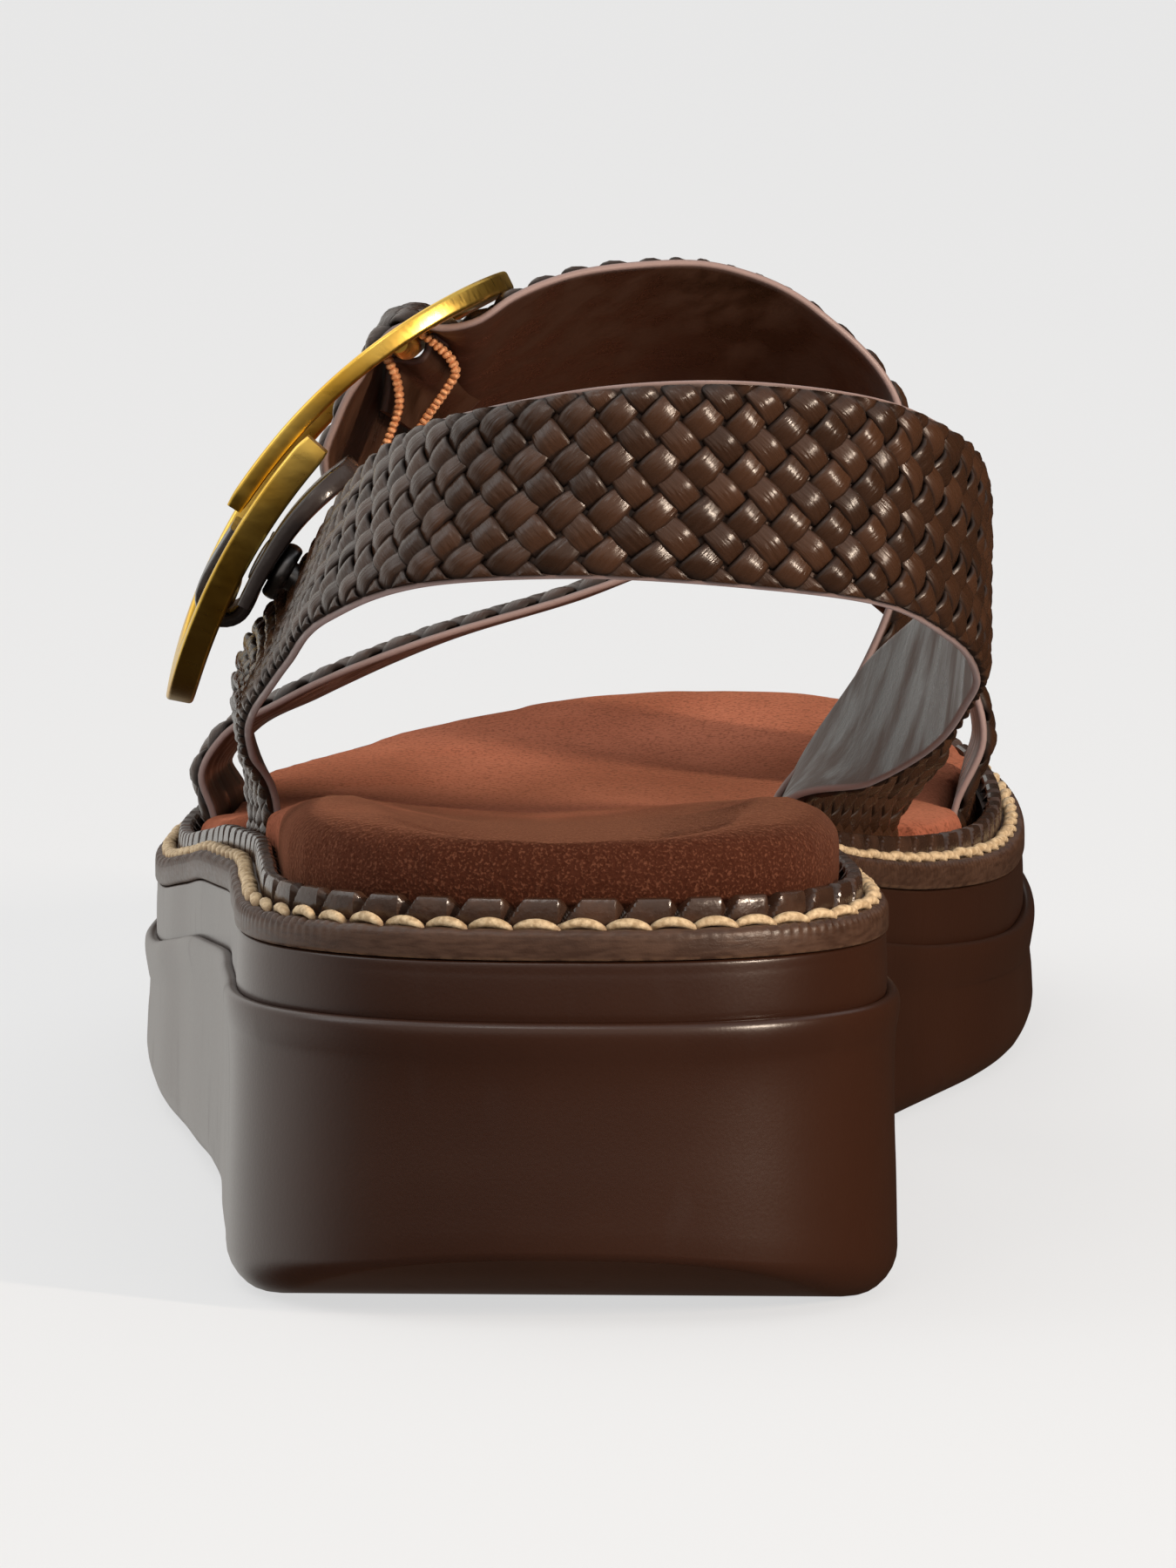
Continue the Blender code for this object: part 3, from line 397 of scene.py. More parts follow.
outer_side = plan_side(-1, 400)
inner_side = plan_side(1, 400)


def tread(points):
    """Depth of the channels: a soft-walled trough at each channel's y, ending short of the edge."""
    x, y = points[:, 0], points[:, 1]
    left = np.interp(y, outer_side[:, 1], outer_side[:, 0])
    right = np.interp(y, inner_side[:, 1], inner_side[:, 0])
    inside = smooth(CHANNEL_MARGIN - 0.8, CHANNEL_MARGIN + 0.8, np.minimum(x - left, right - x))
    away = np.abs(y[:, None] - np.array(CHANNELS)).min(axis=1)
    return CHANNEL_DEPTH * inside * (1 - smooth(CHANNEL_WIDTH / 2 - 0.5, CHANNEL_WIDTH / 2 + 0.4, away))


edge_shares = np.concatenate([np.linspace(0.03, 0.4, 16), [0.5], np.linspace(0.6, 0.97, 16)])
block = slab("lower_block", sole_rings(plan, inset, weights, added), edge_shares, tread, sole_rubber)
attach(block, "root")
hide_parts("outsole")

# ---------------------------------------------------------------- Upper tier of the sole
# The thinner tier of the same rubber, set in behind the block's shoulder and glued to it.
# Its top edge is eased, which leaves a fine dark line under the welt.
WELT_THICK = 3.1
tier = curve_through(np.array([
    # step, inset, of ledge, of top, added
    (0, 1.50, 1.0, 0.0, -0.2), (1, 1.16, 1.0, 0.0, 0.05), (2, 1.12, 0.8, 0.2, 0.1),
    (3, 1.16, 0.4, 0.6, -1.4), (4, 1.20, 0.0, 1.0, -4.4), (5, 1.22, 0.0, 1.0, -3.65),
    (6, 1.30, 0.0, 1.0, -3.35), (7, 1.60, 0.0, 1.0, -3.18), (8, 2.4, 0.0, 1.0, -3.16),
]), np.linspace(0.0, 8.0, 22))
tier_rings = sole_rings(plan, tier[:, :1], np.pad(tier[:, 1:3], ((0, 0), (1, 0))), tier[:, 3:])
upper_tier = slab("upper_tier", tier_rings, np.array([0.25, 0.5, 0.75]), lambda p: 0.0, sole_rubber)
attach(upper_tier, "root")
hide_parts("midsole")

# ---------------------------------------------------------------- Welt and its stitching
# A strip of leather board cemented round the top of the tier. A hot wheel has pressed fine
# ribs into its rim along the sides. One row of thick waxed thread goes through it beside
# the rand; each stitch lies in its own dent.
TOP_ONLY = (0.0, 0.0, 1.0)  # weights of rings whose heights all count from the welt's top
RIB_PITCH, RIB_SHALLOW, RIB_MORE, DENT_DEPTH = 1.25, 0.06, 0.30, 0.16
PRESS_IN, PRESS_DOWN = 0.55, 0.8
STITCH_INSET, STITCH_PITCH, STITCH_SLANT = 2.55, 4.7, 1.05
STITCH_SUNK, STITCH_BOW, THREAD_END, THREAD_SWELL = 0.40, 0.90, 0.08, 0.44


def length_fit(plan, pitch):
    """The pitch nearest to the one asked for that goes round the plan a whole number of times."""
    whole = plan[2][-1] + np.linalg.norm(plan[0][0] - plan[0][-1])
    return whole / round(whole / pitch), round(whole / pitch)


def board(w):
    """Edge-dyed leather board: dark brown, streaked along, with a painted highlight in tan
    patches along its lower rim, for the lit line at the groove over the tier.
    """
    streak = w.noise(900.0, 3.0, (0.5, 0.5, 2.5))
    cloud = w.noise(120.0, 3.0)
    skin = (streak * 0.6 + cloud * 0.4).between(0.35, 0.65).mix((0.040, 0.018, 0.010), (0.068, 0.033, 0.019))
    # Painted highlight: tan patches along the lower rim, for the lit line at the groove.
    bare = w.value("bare") * w.noise(700.0, 2.0).between(0.3, 0.6)
    return {"Base Color": bare.mix(skin, (0.150, 0.080, 0.043)),
            "Roughness": 0.30 + streak * 0.20,
            "Normal": w.bump(streak * 0.6 + w.noise(4200.0, 2.0) * 0.4, 0.05)}


welt_board = finish("welt_board", {"Specular IOR Level": 0.38}, board)
fine_plan = closed_plan(1050)
stitch_pitch, stitch_count = length_fit(fine_plan, STITCH_PITCH)
rib_pitch, _ = length_fit(fine_plan, RIB_PITCH)
profile = np.array([
    # inset, above the foot of the welt, share of the ribs, share of the dents, painted rim highlight
    (1.60, 0.00, 0.0, 0.0, 0.5), (1.25, 0.05, 0.0, 0.0, 0.9), (1.04, 0.22, 0.0, 0.0, 0.5),
    (0.98, 0.45, 0.0, 0.0, 0.0), (0.97, 1.30, 0.1, 0.0, 0.0), (0.98, 2.00, 0.3, 0.0, 0.0),
    (1.02, 2.45, 0.8, 0.0, 0.0), (1.15, 2.80, 1.0, 0.2, 0.0), (1.42, 3.04, 1.0, 0.6, 0.0),
    (1.75, 3.12, 0.9, 1.0, 0.0), (2.05, 3.10, 0.2, 1.0, 0.0), (2.50, 3.02, 0.0, 1.2, 0.0),
    (3.10, 3.05, 0.0, 0.6, 0.0), (4.00, 3.10, 0.0, 0.0, 0.0), (5.60, 3.10, 0.0, 0.0, 0.0),
    (5.60, 0.00, 0.0, 0.0, 0.0),
])
run = fine_plan[2]
sideways = smooth(0.45, 0.85, np.abs(fine_plan[1][:, 0]))
ribs = (RIB_SHALLOW + RIB_MORE * sideways) * (0.5 + 0.5 * np.cos(2 * pi * run / rib_pitch))**1.5
dents = DENT_DEPTH * (0.5 + 0.5 * np.cos(2 * pi * run / stitch_pitch))**2
press = profile[:, 2:3] * ribs + profile[:, 3:4] * dents
welt_rings = sole_rings(fine_plan, profile[:, :1] + PRESS_IN * press, TOP_ONLY,
                        profile[:, 1:2] - WELT_THICK - PRESS_DOWN * press)
welt = put("welt_strip", welt_rings, [grid_faces(len(profile), len(run), True, True)], welt_board,
           bare=np.repeat(profile[:, 4], len(run)))
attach(welt, "root")
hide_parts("welt")


def full_turn(count):
    """Angles of `count` even steps of a whole turn."""
    return 2 * pi * np.arange(count) / count


def tubes(paths, widths, talls, up, sides):
    """Closed tubes with oval sections. paths: tube, ring, xyz. Section point j of a ring is
    path + width * cos(turn) * side + tall * sin(turn) * up. Returns points and faces."""
    ahead = unit(np.gradient(paths, axis=1))
    side = unit(np.cross(ahead, up))
    rise = np.cross(side, ahead)
    turns = full_turn(sides)
    points = (paths[:, :, None] + (widths[..., None] * np.cos(turns))[..., None] * side[:, :, None]
              + (talls[..., None] * np.sin(turns))[..., None] * rise[:, :, None])
    return points, tube_faces(*points.shape[:3])


def tube_faces(tubes_made, rings_made, sides):
    """Walls and end caps of tubes whose points count tube by tube, ring by ring."""
    start = (np.arange(tubes_made) * rings_made * sides)[:, None, None]
    walls = (grid_faces(rings_made, sides, close_columns=True)[None] + start).reshape(-1, 4)
    cap = start[:, 0] + np.arange(sides)
    return [walls, cap[:, ::-1], cap + (rings_made - 1) * sides]


def waxed_thread(w):
    """Cream thread, with painted shade towards the ends of each stitch, where it sinks into the welt."""
    fibre = w.noise(1800.0, 3.0)
    thread_colour = fibre.between(0.3, 0.7).mix((0.38, 0.26, 0.14), (0.68, 0.52, 0.32))
    # Painted shade: dark brown towards the stitch's ends.
    return {"Base Color": w.value("soiled").mix(thread_colour, (0.11, 0.052, 0.024)),
            "Roughness": 0.45 + fibre * 0.2,
            "Normal": w.bump(w.noise(5200.0, 2.0), 0.05)}


stitch_thread = finish("stitch_thread", {"Specular IOR Level": 0.4}, waxed_thread)
share = np.linspace(0.0, 1.0, 13)
start_at = (np.arange(stitch_count) * stitch_pitch)[:, None]
at = (start_at + (share[None] * 1.06 - 0.03) * stitch_pitch) % run[-1]
centre = np.stack([np.interp(at, run, column) for column in fine_plan[0].T], axis=-1)
inward = np.stack([np.interp(at, run, column) for column in fine_plan[1].T], axis=-1)
wobble = np.random.default_rng(5).normal(0.0, 1.0, (stitch_count, 2))
lean = (share - 0.5)[None] * (STITCH_SLANT + 0.14 * wobble[:, :1])
flat = centre + (STITCH_INSET + lean)[..., None] * inward
bow = 1 - (2 * share - 1)**2
rise = heights(flat[..., 1])[2] - STITCH_SUNK + (STITCH_BOW + 0.06 * wobble[:, 1:]) * bow[None]**0.7
thread_path = np.concatenate([flat, rise[..., None]], axis=-1)
plump = np.broadcast_to(THREAD_END + THREAD_SWELL * bow**0.5, at.shape)
stitches, stitch_faces = tubes(thread_path, plump * 1.25, plump, np.array((0.0, 0.0, 1.0)), 9)
# Painted shade at each stitch's ends, where the thread sinks into its hole.
soiled = np.broadcast_to(smooth(0.30, 0.95, 1 - bow**0.7)[None, :, None], stitches.shape[:3])
stitching = put("welt_stitches", stitches, stitch_faces, stitch_thread, sharp=60.0, soiled=soiled.ravel())
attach(stitching, "root")
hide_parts("welt")

# ---------------------------------------------------------------- Rand
# A strip of glossy dark leather set on edge between the welt and the footbed, pressed into
# a row of blocks by slanting notches, and caught under the stitches.
RAND_HEIGHT, BLOCK_PITCH = 2.75, 5.9
NOTCH_SLANT, NOTCH_IN, NOTCH_DOWN = 1.1, 0.95, 1.30


def glossy_leather(w):
    """Near-black brown leather with fine creases; rubbed edges show redder."""
    crease = w.noise(1500.0, 4.0)
    rub = w.noise(260.0, 3.0).between(0.45, 0.75)
    return {"Base Color": rub.mix((0.036, 0.017, 0.010), (0.066, 0.031, 0.018)),
            "Roughness": 0.17 + crease * 0.16,
            "Normal": w.bump(crease, 0.06)}


rand_leather = finish("rand_leather", {"Specular IOR Level": 0.6}, glossy_leather)
rand_plan = closed_plan(1500)
block_pitch, _ = length_fit(rand_plan, BLOCK_PITCH)
section = np.array([
    # inset, height
    (3.62, 0.05), (3.56, 0.45), (3.55, 1.00), (3.57, 1.50), (3.62, 2.00), (3.70, 2.42),
    (3.86, 2.66), (4.15, 2.75), (4.85, 2.72), (5.18, 2.55), (5.25, 2.20), (5.25, 0.05),
])
tall = section[:, 1:2] / RAND_HEIGHT
phase = (rand_plan[2][None] + NOTCH_SLANT * tall) / block_pitch
off = np.abs(phase - np.round(phase)) * block_pitch
notch = np.clip(1 - off / (0.14 + 1.05 * tall), 0, 1)
rand_inset = section[:, :1] + NOTCH_IN * notch * (section[:, :1] < 5.0)
rand_up = section[:, 1:2] - NOTCH_DOWN * notch * tall**1.2
rand_rings = sole_rings(rand_plan, rand_inset, TOP_ONLY, rand_up)
rand_faces = grid_faces(len(section), len(rand_plan[2]), True, True)
rand = put("rand_blocks", rand_rings, [rand_faces], rand_leather, sharp=24.0)
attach(rand, "root")
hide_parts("rand")

# ---------------------------------------------------------------- Padded footbed
# Brown suede pulled over a foam pad with a raised, puffed roll round its edge and a hollow
# for the heel. The pad is blown up a little inside its cover, and its sides are notched
# where the straps go down between it and the rand.
PAD_VOXEL, PAD_SHRINK, PAD_SWELL, PAD_FRAMES = 0.0019, 0.45, 1.3, 20
HELD_BELOW, FREE_ABOVE = 0.0024, 0.0050


def copy_of(node, name):
    """A copy of a CAD node's mesh with its loose triangles joined up."""
    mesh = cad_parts[node].data.copy()
    work = bmesh.new()
    work.from_mesh(mesh)
    bmesh.ops.remove_doubles(work, verts=work.verts, dist=1e-6)
    work.to_mesh(mesh)
    work.free()
    mesh.materials.clear()
    return placed(name, mesh)


def modifier(thing, kind, **settings):
    """A new modifier with its settings."""
    new = thing.modifiers.new(kind.lower(), kind)
    for key, value in settings.items():
        setattr(new, key, value)
    return new


def fixed(thing, new):
    """Apply one modifier."""
    bpy.context.view_layer.objects.active = thing
    bpy.ops.object.modifier_apply(modifier=new.name)


def corners(thing):
    """All vertex positions, in metres."""
    flat = np.empty(len(thing.data.vertices) * 3)
    thing.data.vertices.foreach_get("co", flat)
    return flat.reshape(-1, 3)


def brushed_suede(w):
    """Short nap: dark pores and lit flecks, brushed lighter in soft patches. The front of the
    footbed is painted much lighter, with fewer flecks, as painted light.
    """
    patch = w.noise(34.0, 3.0, (1.0, 0.7, 1.0)).between(0.35, 0.65)
    fleck = w.noise(3400.0, 2.0).between(0.50, 0.70)
    pore = w.noise(2300.0, 2.0).between(0.34, 0.52)
    # Painted light: from about 15 to 60 mm forward the nap is painted much lighter, with fewer flecks.
    forward = (w.place().axis("Y") + patch * 0.03).between(0.015, 0.060)
    nap = patch.mix((0.046, 0.0140, 0.0078), (0.064, 0.0198, 0.0112))
    nap = forward.mix(nap, patch.mix((0.235, 0.070, 0.038), (0.370, 0.120, 0.070)))
    lit = (fleck * (0.42 - forward * 0.25)).mix(nap, (0.215, 0.084, 0.048))
    return {"Base Color": (pore * 0.45 + 0.55).mix((0.030, 0.008, 0.004), lit),
            "Normal": w.bump(w.noise(1700.0, 3.0), 0.24)}


suede = finish("suede", {"Roughness": 0.95, "Specular IOR Level": 0.0, "Sheen Weight": 0.22,
                         "Sheen Roughness": 0.45, "Sheen Tint": (0.80, 0.38, 0.24, 1.0)}, brushed_suede)
pad = copy_of("footbed", "footbed_pad")
fixed(pad, modifier(pad, "REMESH", mode="VOXEL", voxel_size=PAD_VOXEL))
fixed(pad, modifier(pad, "SMOOTH", iterations=3, factor=0.5))
start = corners(pad)
facing = np.array([v.normal[:] for v in pad.data.vertices])
welt_top = heights(start[:, 1] * 1000)[2] * 0.001
free = smooth(HELD_BELOW, FREE_ABOVE, start[:, 2] - welt_top)
start -= facing * (PAD_SHRINK * 0.001 * free)[:, None]
pad.data.vertices.foreach_set("co", start.ravel())
held = pad.vertex_groups.new(name="held")
for k in np.flatnonzero(free < 1.0).tolist():
    held.add([k], float(1.0 - free[k]), "REPLACE")
cover = modifier(pad, "CLOTH")
cloth = {"quality": 5, "mass": 0.15, "tension_stiffness": 12.0, "compression_stiffness": 6.0,
         "bending_stiffness": 0.4, "vertex_group_mass": "held", "use_pressure": True,
         "uniform_pressure_force": 4.0}
for key, value in cloth.items():
    setattr(cover.settings, key, value)
cover.settings.effector_weights.gravity = 0.0
for moment in range(1, PAD_FRAMES + 1):
    bpy.context.scene.frame_set(moment)
    bpy.context.view_layer.update()
fixed(pad, cover)
bpy.context.scene.frame_set(1)
moved = corners(pad) - start
reach = np.linalg.norm(moved, axis=1)[:, None]
moved *= np.minimum(1.0, PAD_SWELL * 0.001 / np.maximum(reach, 1e-9))
pad.data.vertices.foreach_set("co", (start + moved).ravel())
fixed(pad, modifier(pad, "SUBSURF", levels=1, render_levels=1))
pad.data.materials.append(suede)
pad.data.shade_smooth()
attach(pad, "root")
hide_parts("footbed")

# ---------------------------------------------------------------- Sling, instep strap and toe strap
# Flat leather laces plaited on the bias and glued to a smooth leather lining, whose painted
# edge shows as a thin lip. The ends go down between the footbed and the rand, to the sole,
# and a plain leather underlay closes the strap's fold below the buckle's bar.
RIM_LIFT, WELT_TO_FOOT = 3.6, -WELT_THICK + 0.4  # a strap's end, above and below the welt's top
# Rows of a strap: a point on its rear edge, then one on its front edge, each x, y, z.
SLING = [
    (-35.5, 44.0, 47.2, -37.6, 63.5, 52.5), (-34.0, 25.0, 54.2, -31.2, 41.0, 64.7),
    (-31.7, 15.5, 57.9, -27.0, 30.0, 70.7), (-29.4, 6.0, 61.4, -23.9, 18.0, 76.6),
    (-24.2, -12.0, 68.1, -17.4, -3.5, 84.6), (-13.7, -25.5, 73.0, -9.0, -21.5, 89.2),
    (2.0, -29.5, 74.2, 4.0, -27.5, 92.0), (18.0, -26.5, 73.0, 17.6, -25.0, 92.3),
    (31.7, -20.0, 70.5, 31.0, -17.0, 89.9), (37.9, -8.0, 65.9, 37.8, -5.0, 85.7),
    (40.6, 8.0, 60.2, 40.6, 15.0, 79.3), (39.3, 23.0, 55.2, 39.3, 35.5, 71.2),
    (36.2, 37.0, 49.5, 35.6, 52.0, 62.2), (29.0, 52.0, 43.3, 27.0, 68.5, 51.5),
]
INSTEP = [
    (24.5, 75.0, 46.0, 35.6, 127.5, 37.5), (31.7, 73.5, 62.0, 35.6, 121.0, 45.5),
    (31.8, 72.0, 80.4, 30.6, 111.5, 54.0), (23.0, 69.5, 91.1, 20.5, 103.0, 63.5),
    (14.2, 63.5, 96.0, 12.0, 93.5, 73.8), (5.5, 55.0, 97.4, 4.0, 83.0, 82.6),
    (-2.5, 48.5, 96.8, -5.0, 80.5, 80.6), (-8.2, 44.0, 94.9, -12.0, 77.0, 79.6),
]
TOE = [
    (-47.2, 138.0, 32.9, -46.2, 169.0, 31.0), (-45.0, 138.5, 37.3, -43.0, 169.5, 35.0),
    (-38.2, 140.0, 41.5, -36.0, 171.5, 38.5), (-24.0, 143.0, 47.4, -22.0, 174.5, 44.5),
    (-8.3, 145.5, 52.0, -7.0, 177.0, 49.0), (5.0, 147.5, 55.9, 5.5, 179.0, 53.2),
    (18.0, 149.5, 56.2, 18.0, 181.0, 53.5), (30.0, 151.0, 51.8, 29.5, 181.5, 49.0),
    (38.0, 152.0, 43.5, 36.8, 181.5, 40.0), (40.0, 152.5, 35.5, 38.8, 181.5, 33.6),
]
BEND_RADIUS, BEND_START, BEND_TOP, BEND_REAR = 62.0, radians(25.0), (-8.5, 96.9), 31.0
BEND_SWING, TWIST_TOP, TWIST_RATE = 0.04, -0.065, 0.0018
BUCKLE_Y = 53.5
# Rows on the buckle's bend: rear along, y, out, then front along, y, out.
STRAP_END = [
    (5.0, 42.5, -1.55, 13.6, 71.0, -7.6), (7.8, 42.5, -0.5, 9.6, 67.0, -3.4),
    (9.8, 42.5, 1.4, 9.4, 65.0, 0.8), (12.3, 42.5, 2.2, 12.3, 64.5, 2.8),
    (14.7, 42.5, 1.8, 14.9, 65.0, 1.4), (16.6, 42.5, 1.0, 16.8, 66.5, -1.6),
    (18.2, 42.5, 0.4, 18.4, 68.0, -4.6), (20.4, 42.5, -0.2, 20.4, 69.0, -7.0),
    (23.5, 42.5, -1.4, 23.5, 69.0, -8.8), (27.2, 42.5, -3.0, 27.2, 69.0, -10.2),
    (29.6, 43.5, -5.2, 29.2, 69.0, -11.4),
]
UNDERLAY = [
    (8.8, 51.0, -2.6, 8.0, 70.0, -8.9), (9.6, 51.0, -1.0, 9.0, 70.0, -9.0),
    (10.4, 51.0, -0.95, 10.2, 70.0, -9.2), (11.2, 51.0, -1.75, 11.2, 70.0, -9.3),
    (12.3, 51.0, -2.17, 12.3, 70.0, -9.5), (13.4, 51.0, -1.75, 13.4, 70.0, -9.6),
    (14.2, 51.0, -0.8, 14.4, 70.0, -9.8), (15.2, 51.0, -0.6, 15.5, 70.0, -9.9),
    (16.3, 51.0, -1.5, 16.8, 70.0, -10.0), (17.6, 51.0, -2.7, 18.0, 70.0, -10.2),
    (19.4, 51.0, -4.1, 19.4, 69.5, -10.3),
]


def on_buckle(along, y, out):
    """Place on the buckle's bend: `along` runs down an arc of BEND_RADIUS from its top, `out`
    stands off it; both drift with y, as the buckle swings and twists. The angle there is
    start + along / radius; x falls by radius * (sin angle - sin start) and z by
    radius * (cos start - cos angle), and `out` goes along (-sin angle, cos angle)."""
    ahead = y - BEND_REAR
    along = along + BEND_SWING * ahead
    out = out + (TWIST_TOP + TWIST_RATE * along) * ahead
    slope = BEND_START + along / BEND_RADIUS
    x = BEND_TOP[0] - BEND_RADIUS * (np.sin(slope) - np.sin(BEND_START)) - out * np.sin(slope)
    z = BEND_TOP[1] - BEND_RADIUS * (np.cos(BEND_START) - np.cos(slope)) + out * np.cos(slope)
    return np.stack(np.broadcast_arrays(x, y, z), axis=-1)


def bend_rows(rows):
    """Rows on the buckle's bend as rows of x, y, z."""
    return [[*on_buckle(*row[:3]), *on_buckle(*row[3:])] for row in rows]


def squared(x, power):
    """x to a power below 1, its sign kept: it squares off a circle's sine and cosine."""
    return np.sign(x) * np.abs(x)**power


def tuck(side, edges, inset, down):
    """Rows of a strap's end: at the footbed's edge, and at its foot on the tier."""
    half = 42
    points, inward, _ = closed_plan(half)
    line = points + inset * inward
    line = line[:half + 1] if side < 0 else np.vstack([line[:1], line[:half - 1:-1]])
    x = np.interp(edges, line[:, 1], line[:, 0])
    top = heights(np.array(edges))[2]
    rows = [[x[0], edges[0], top[0] + lift, x[1], edges[1], top[1] + lift]
            for lift in (RIM_LIFT, WELT_TO_FOOT)]
    return rows if down else rows[::-1]


class Sheet:
    """Ruled sheet between a strap's two edges. at(along, across, lift) gives the point
    `across` mm from the first edge and `lift` mm out from the foot: edge a + (b - a) * share
    + lift * unit normal, the edges being smooth curves over the middle line's length."""

    def __init__(self, rows, out):
        rows = np.asarray(rows, dtype=float)
        length = run_along((rows[:, :3] + rows[:, 3:]) / 2)
        self.table = np.column_stack([length, rows])
        self.length = length[-1]
        self.out = out

    def edges(self, along):
        """Points on the first edge and on the second."""
        both = curve_through(self.table, np.ravel(along)).reshape(*np.shape(along), 6)
        return both[..., :3], both[..., 3:]

    def width(self, along):
        """Distance from edge to edge."""
        a, b = self.edges(along)
        return np.linalg.norm(b - a, axis=-1)

    def at(self, along, across, lift):
        along, across, lift = np.broadcast_arrays(along, across, lift)
        a, b = self.edges(along)
        share = (across / np.linalg.norm(b - a, axis=-1))[..., None]
        before, after = self.edges(along - 0.4), self.edges(along + 0.4)
        ahead = (after[0] - before[0]) * (1 - share) + (after[1] - before[1]) * share
        normal = unit(np.cross(ahead, b - a) * self.out)
        return a + (b - a) * share + normal * lift[..., None]


PAINT_WIDE = 0.30


def ribbon(sheet, low, high, lip, step):
    """Closed strip on a sheet from lift `low` to `high`, its edges rounded and `lip` mm past the
    sheet's. Returns points, faces and how near each vertex is to an edge."""
    along = np.linspace(0.0, sheet.length, int(sheet.length / step) + 1)
    flat = (1 - np.cos(pi * np.concatenate([np.linspace(0.0, 1.0, 13), np.linspace(1.0, 0.0, 13)]))) / 2
    turn = np.linspace(-pi / 2, pi / 2, 7)[1:-1]
    radius, middle = (high - low) / 2, (high + low) / 2
    shares = np.concatenate([flat[:13], np.ones(5), flat[13:], np.zeros(5)])
    past = np.concatenate([np.zeros(13), np.cos(turn), np.zeros(13), -np.cos(turn)]) * radius
    lift = np.concatenate([np.full(13, -radius), np.sin(turn) * radius, np.full(13, radius),
                           -np.sin(turn) * radius]) + middle
    reach = lip - radius
    width = sheet.width(along)[:, None]
    across = -reach + shares[None] * (width + 2 * reach) + past[None]
    grid = sheet.at(along[:, None], across, lift)
    edge = np.minimum(across + lip, width + lip - across)
    return grid, tube_faces(1, *grid.shape[:2]), np.exp(-(edge / PAINT_WIDE)**2)


PLAIT_LONG, PLAIT_WIDE = 4.4, 4.7
LACE_HALF, LACE_REACH, LACE_DIVE = 1.50, 2.25, 1.60
LACE_HIGH, LACE_WAVE, LACE_LIFT, LACE_FLOOR = 0.44, 0.48, 0.10, -0.75
LACE_SHINGLE = 0.10
BRIM_WIDE, BRIM_PRESS = 1.8, 0.45


def plait(sheet, seed, start, end, spill, first):
    """Bias plait on a sheet. The laces cross on a lattice PLAIT_LONG by PLAIT_WIDE, where
    every second crossing shows the lace that leans the other way. Each crossing is a closed
    piece of lace: an oval section carried along the lean, whose middle rises and falls as
    cos(pi * p / (2 * LACE_DIVE)) and dives under the next laces; one end of it lies a little
    higher, like a shingle. Past the sheet's edges it is pressed into `spill` mm, and the brim
    BRIM_WIDE inside them sinks by BRIM_PRESS * share^2. Returns points, faces, the place on
    the lace and what each vertex carries: the lace's tone, and painted shade that grows at
    the lace's sides and where it dives."""
    rng = np.random.default_rng(seed)

    def each(values):
        """One value for each lace, ready for its rings and their points."""
        return values[:, None, None]

    columns = int((end - start) / PLAIT_LONG)
    long = (end - start) / columns
    widest = float(sheet.width(np.linspace(start, end, 60)).max())
    i, j = np.meshgrid(np.arange(2 * columns), np.arange(-1, int(2 * widest / PLAIT_WIDE) + 3))
    keep = (i + j) % 2 == 0
    i, j = i[keep], j[keep]
    centre_u = start + (i + 0.5) * long / 2
    centre_v = (j / 2 + first) * PLAIT_WIDE
    width = sheet.width(centre_u)
    keep = (centre_v > -0.20 * PLAIT_WIDE) & (centre_v < width + 0.20 * PLAIT_WIDE)
    i, centre_u, centre_v = i[keep], centre_u[keep], centre_v[keep]
    lean = np.where(i % 2 == 0, 1.0, -1.0) * np.arctan2(PLAIT_WIDE, long)
    lean = lean + rng.normal(0.0, 0.035, len(i))
    p = np.linspace(-1.0, 1.0, 9)[:, None] * LACE_REACH * each(rng.normal(1.0, 0.02, len(i)))
    turns = full_turn(12) + pi / 12
    half = LACE_HALF * each(rng.normal(1.0, 0.025, len(i)))
    taper = 1 - 0.16 * np.abs(p / LACE_REACH)**3
    q = half * taper * squared(np.cos(turns), 0.78)
    crown = LACE_HIGH * squared(np.sin(turns), 0.85)
    tilt = each(rng.normal(0.05, 0.05, len(i)))
    sine, cosine = each(np.sin(lean)), each(np.cos(lean))
    lift = LACE_LIFT + LACE_WAVE * np.cos(pi * p / (2 * LACE_DIVE)) + crown + tilt * q
    lift = lift + LACE_SHINGLE * sine * p
    u = np.clip(each(centre_u) + cosine * p - sine * q, 0.05, sheet.length - 0.05)
    v = each(centre_v) + sine * p + cosine * q
    wide = sheet.width(u)
    over = np.maximum(0.0, v - (wide - spill))
    under = np.maximum(0.0, spill - v)
    soft = spill * 1.6
    v = v - over + soft * np.tanh(over / soft) + under - soft * np.tanh(under / soft)
    brim = np.clip(1 - np.minimum(v, wide - v) / BRIM_WIDE, 0.0, 1.0)
    lift = lift - 0.10 * np.maximum(over, under) - BRIM_PRESS * brim**2
    points = sheet.at(u, v, np.maximum(lift, LACE_FLOOR))
    tone = np.broadcast_to(each(rng.uniform(0.0, 1.0, len(i))), u.shape)
    # Painted shade: each lace is painted darker at its sides and where it dives under the next.
    sunk_shade = 1 - smooth(0.0, 0.34, crown) * smooth(-0.05, 0.5, lift)
    strand = np.stack(np.broadcast_arrays(p + 7.0 * each(rng.integers(0, 40, len(i))), q), axis=-1)
    return points, tube_faces(*points.shape[:3]), strand, {"tone": tone.ravel(), "sunk_shade": sunk_shade.ravel()}


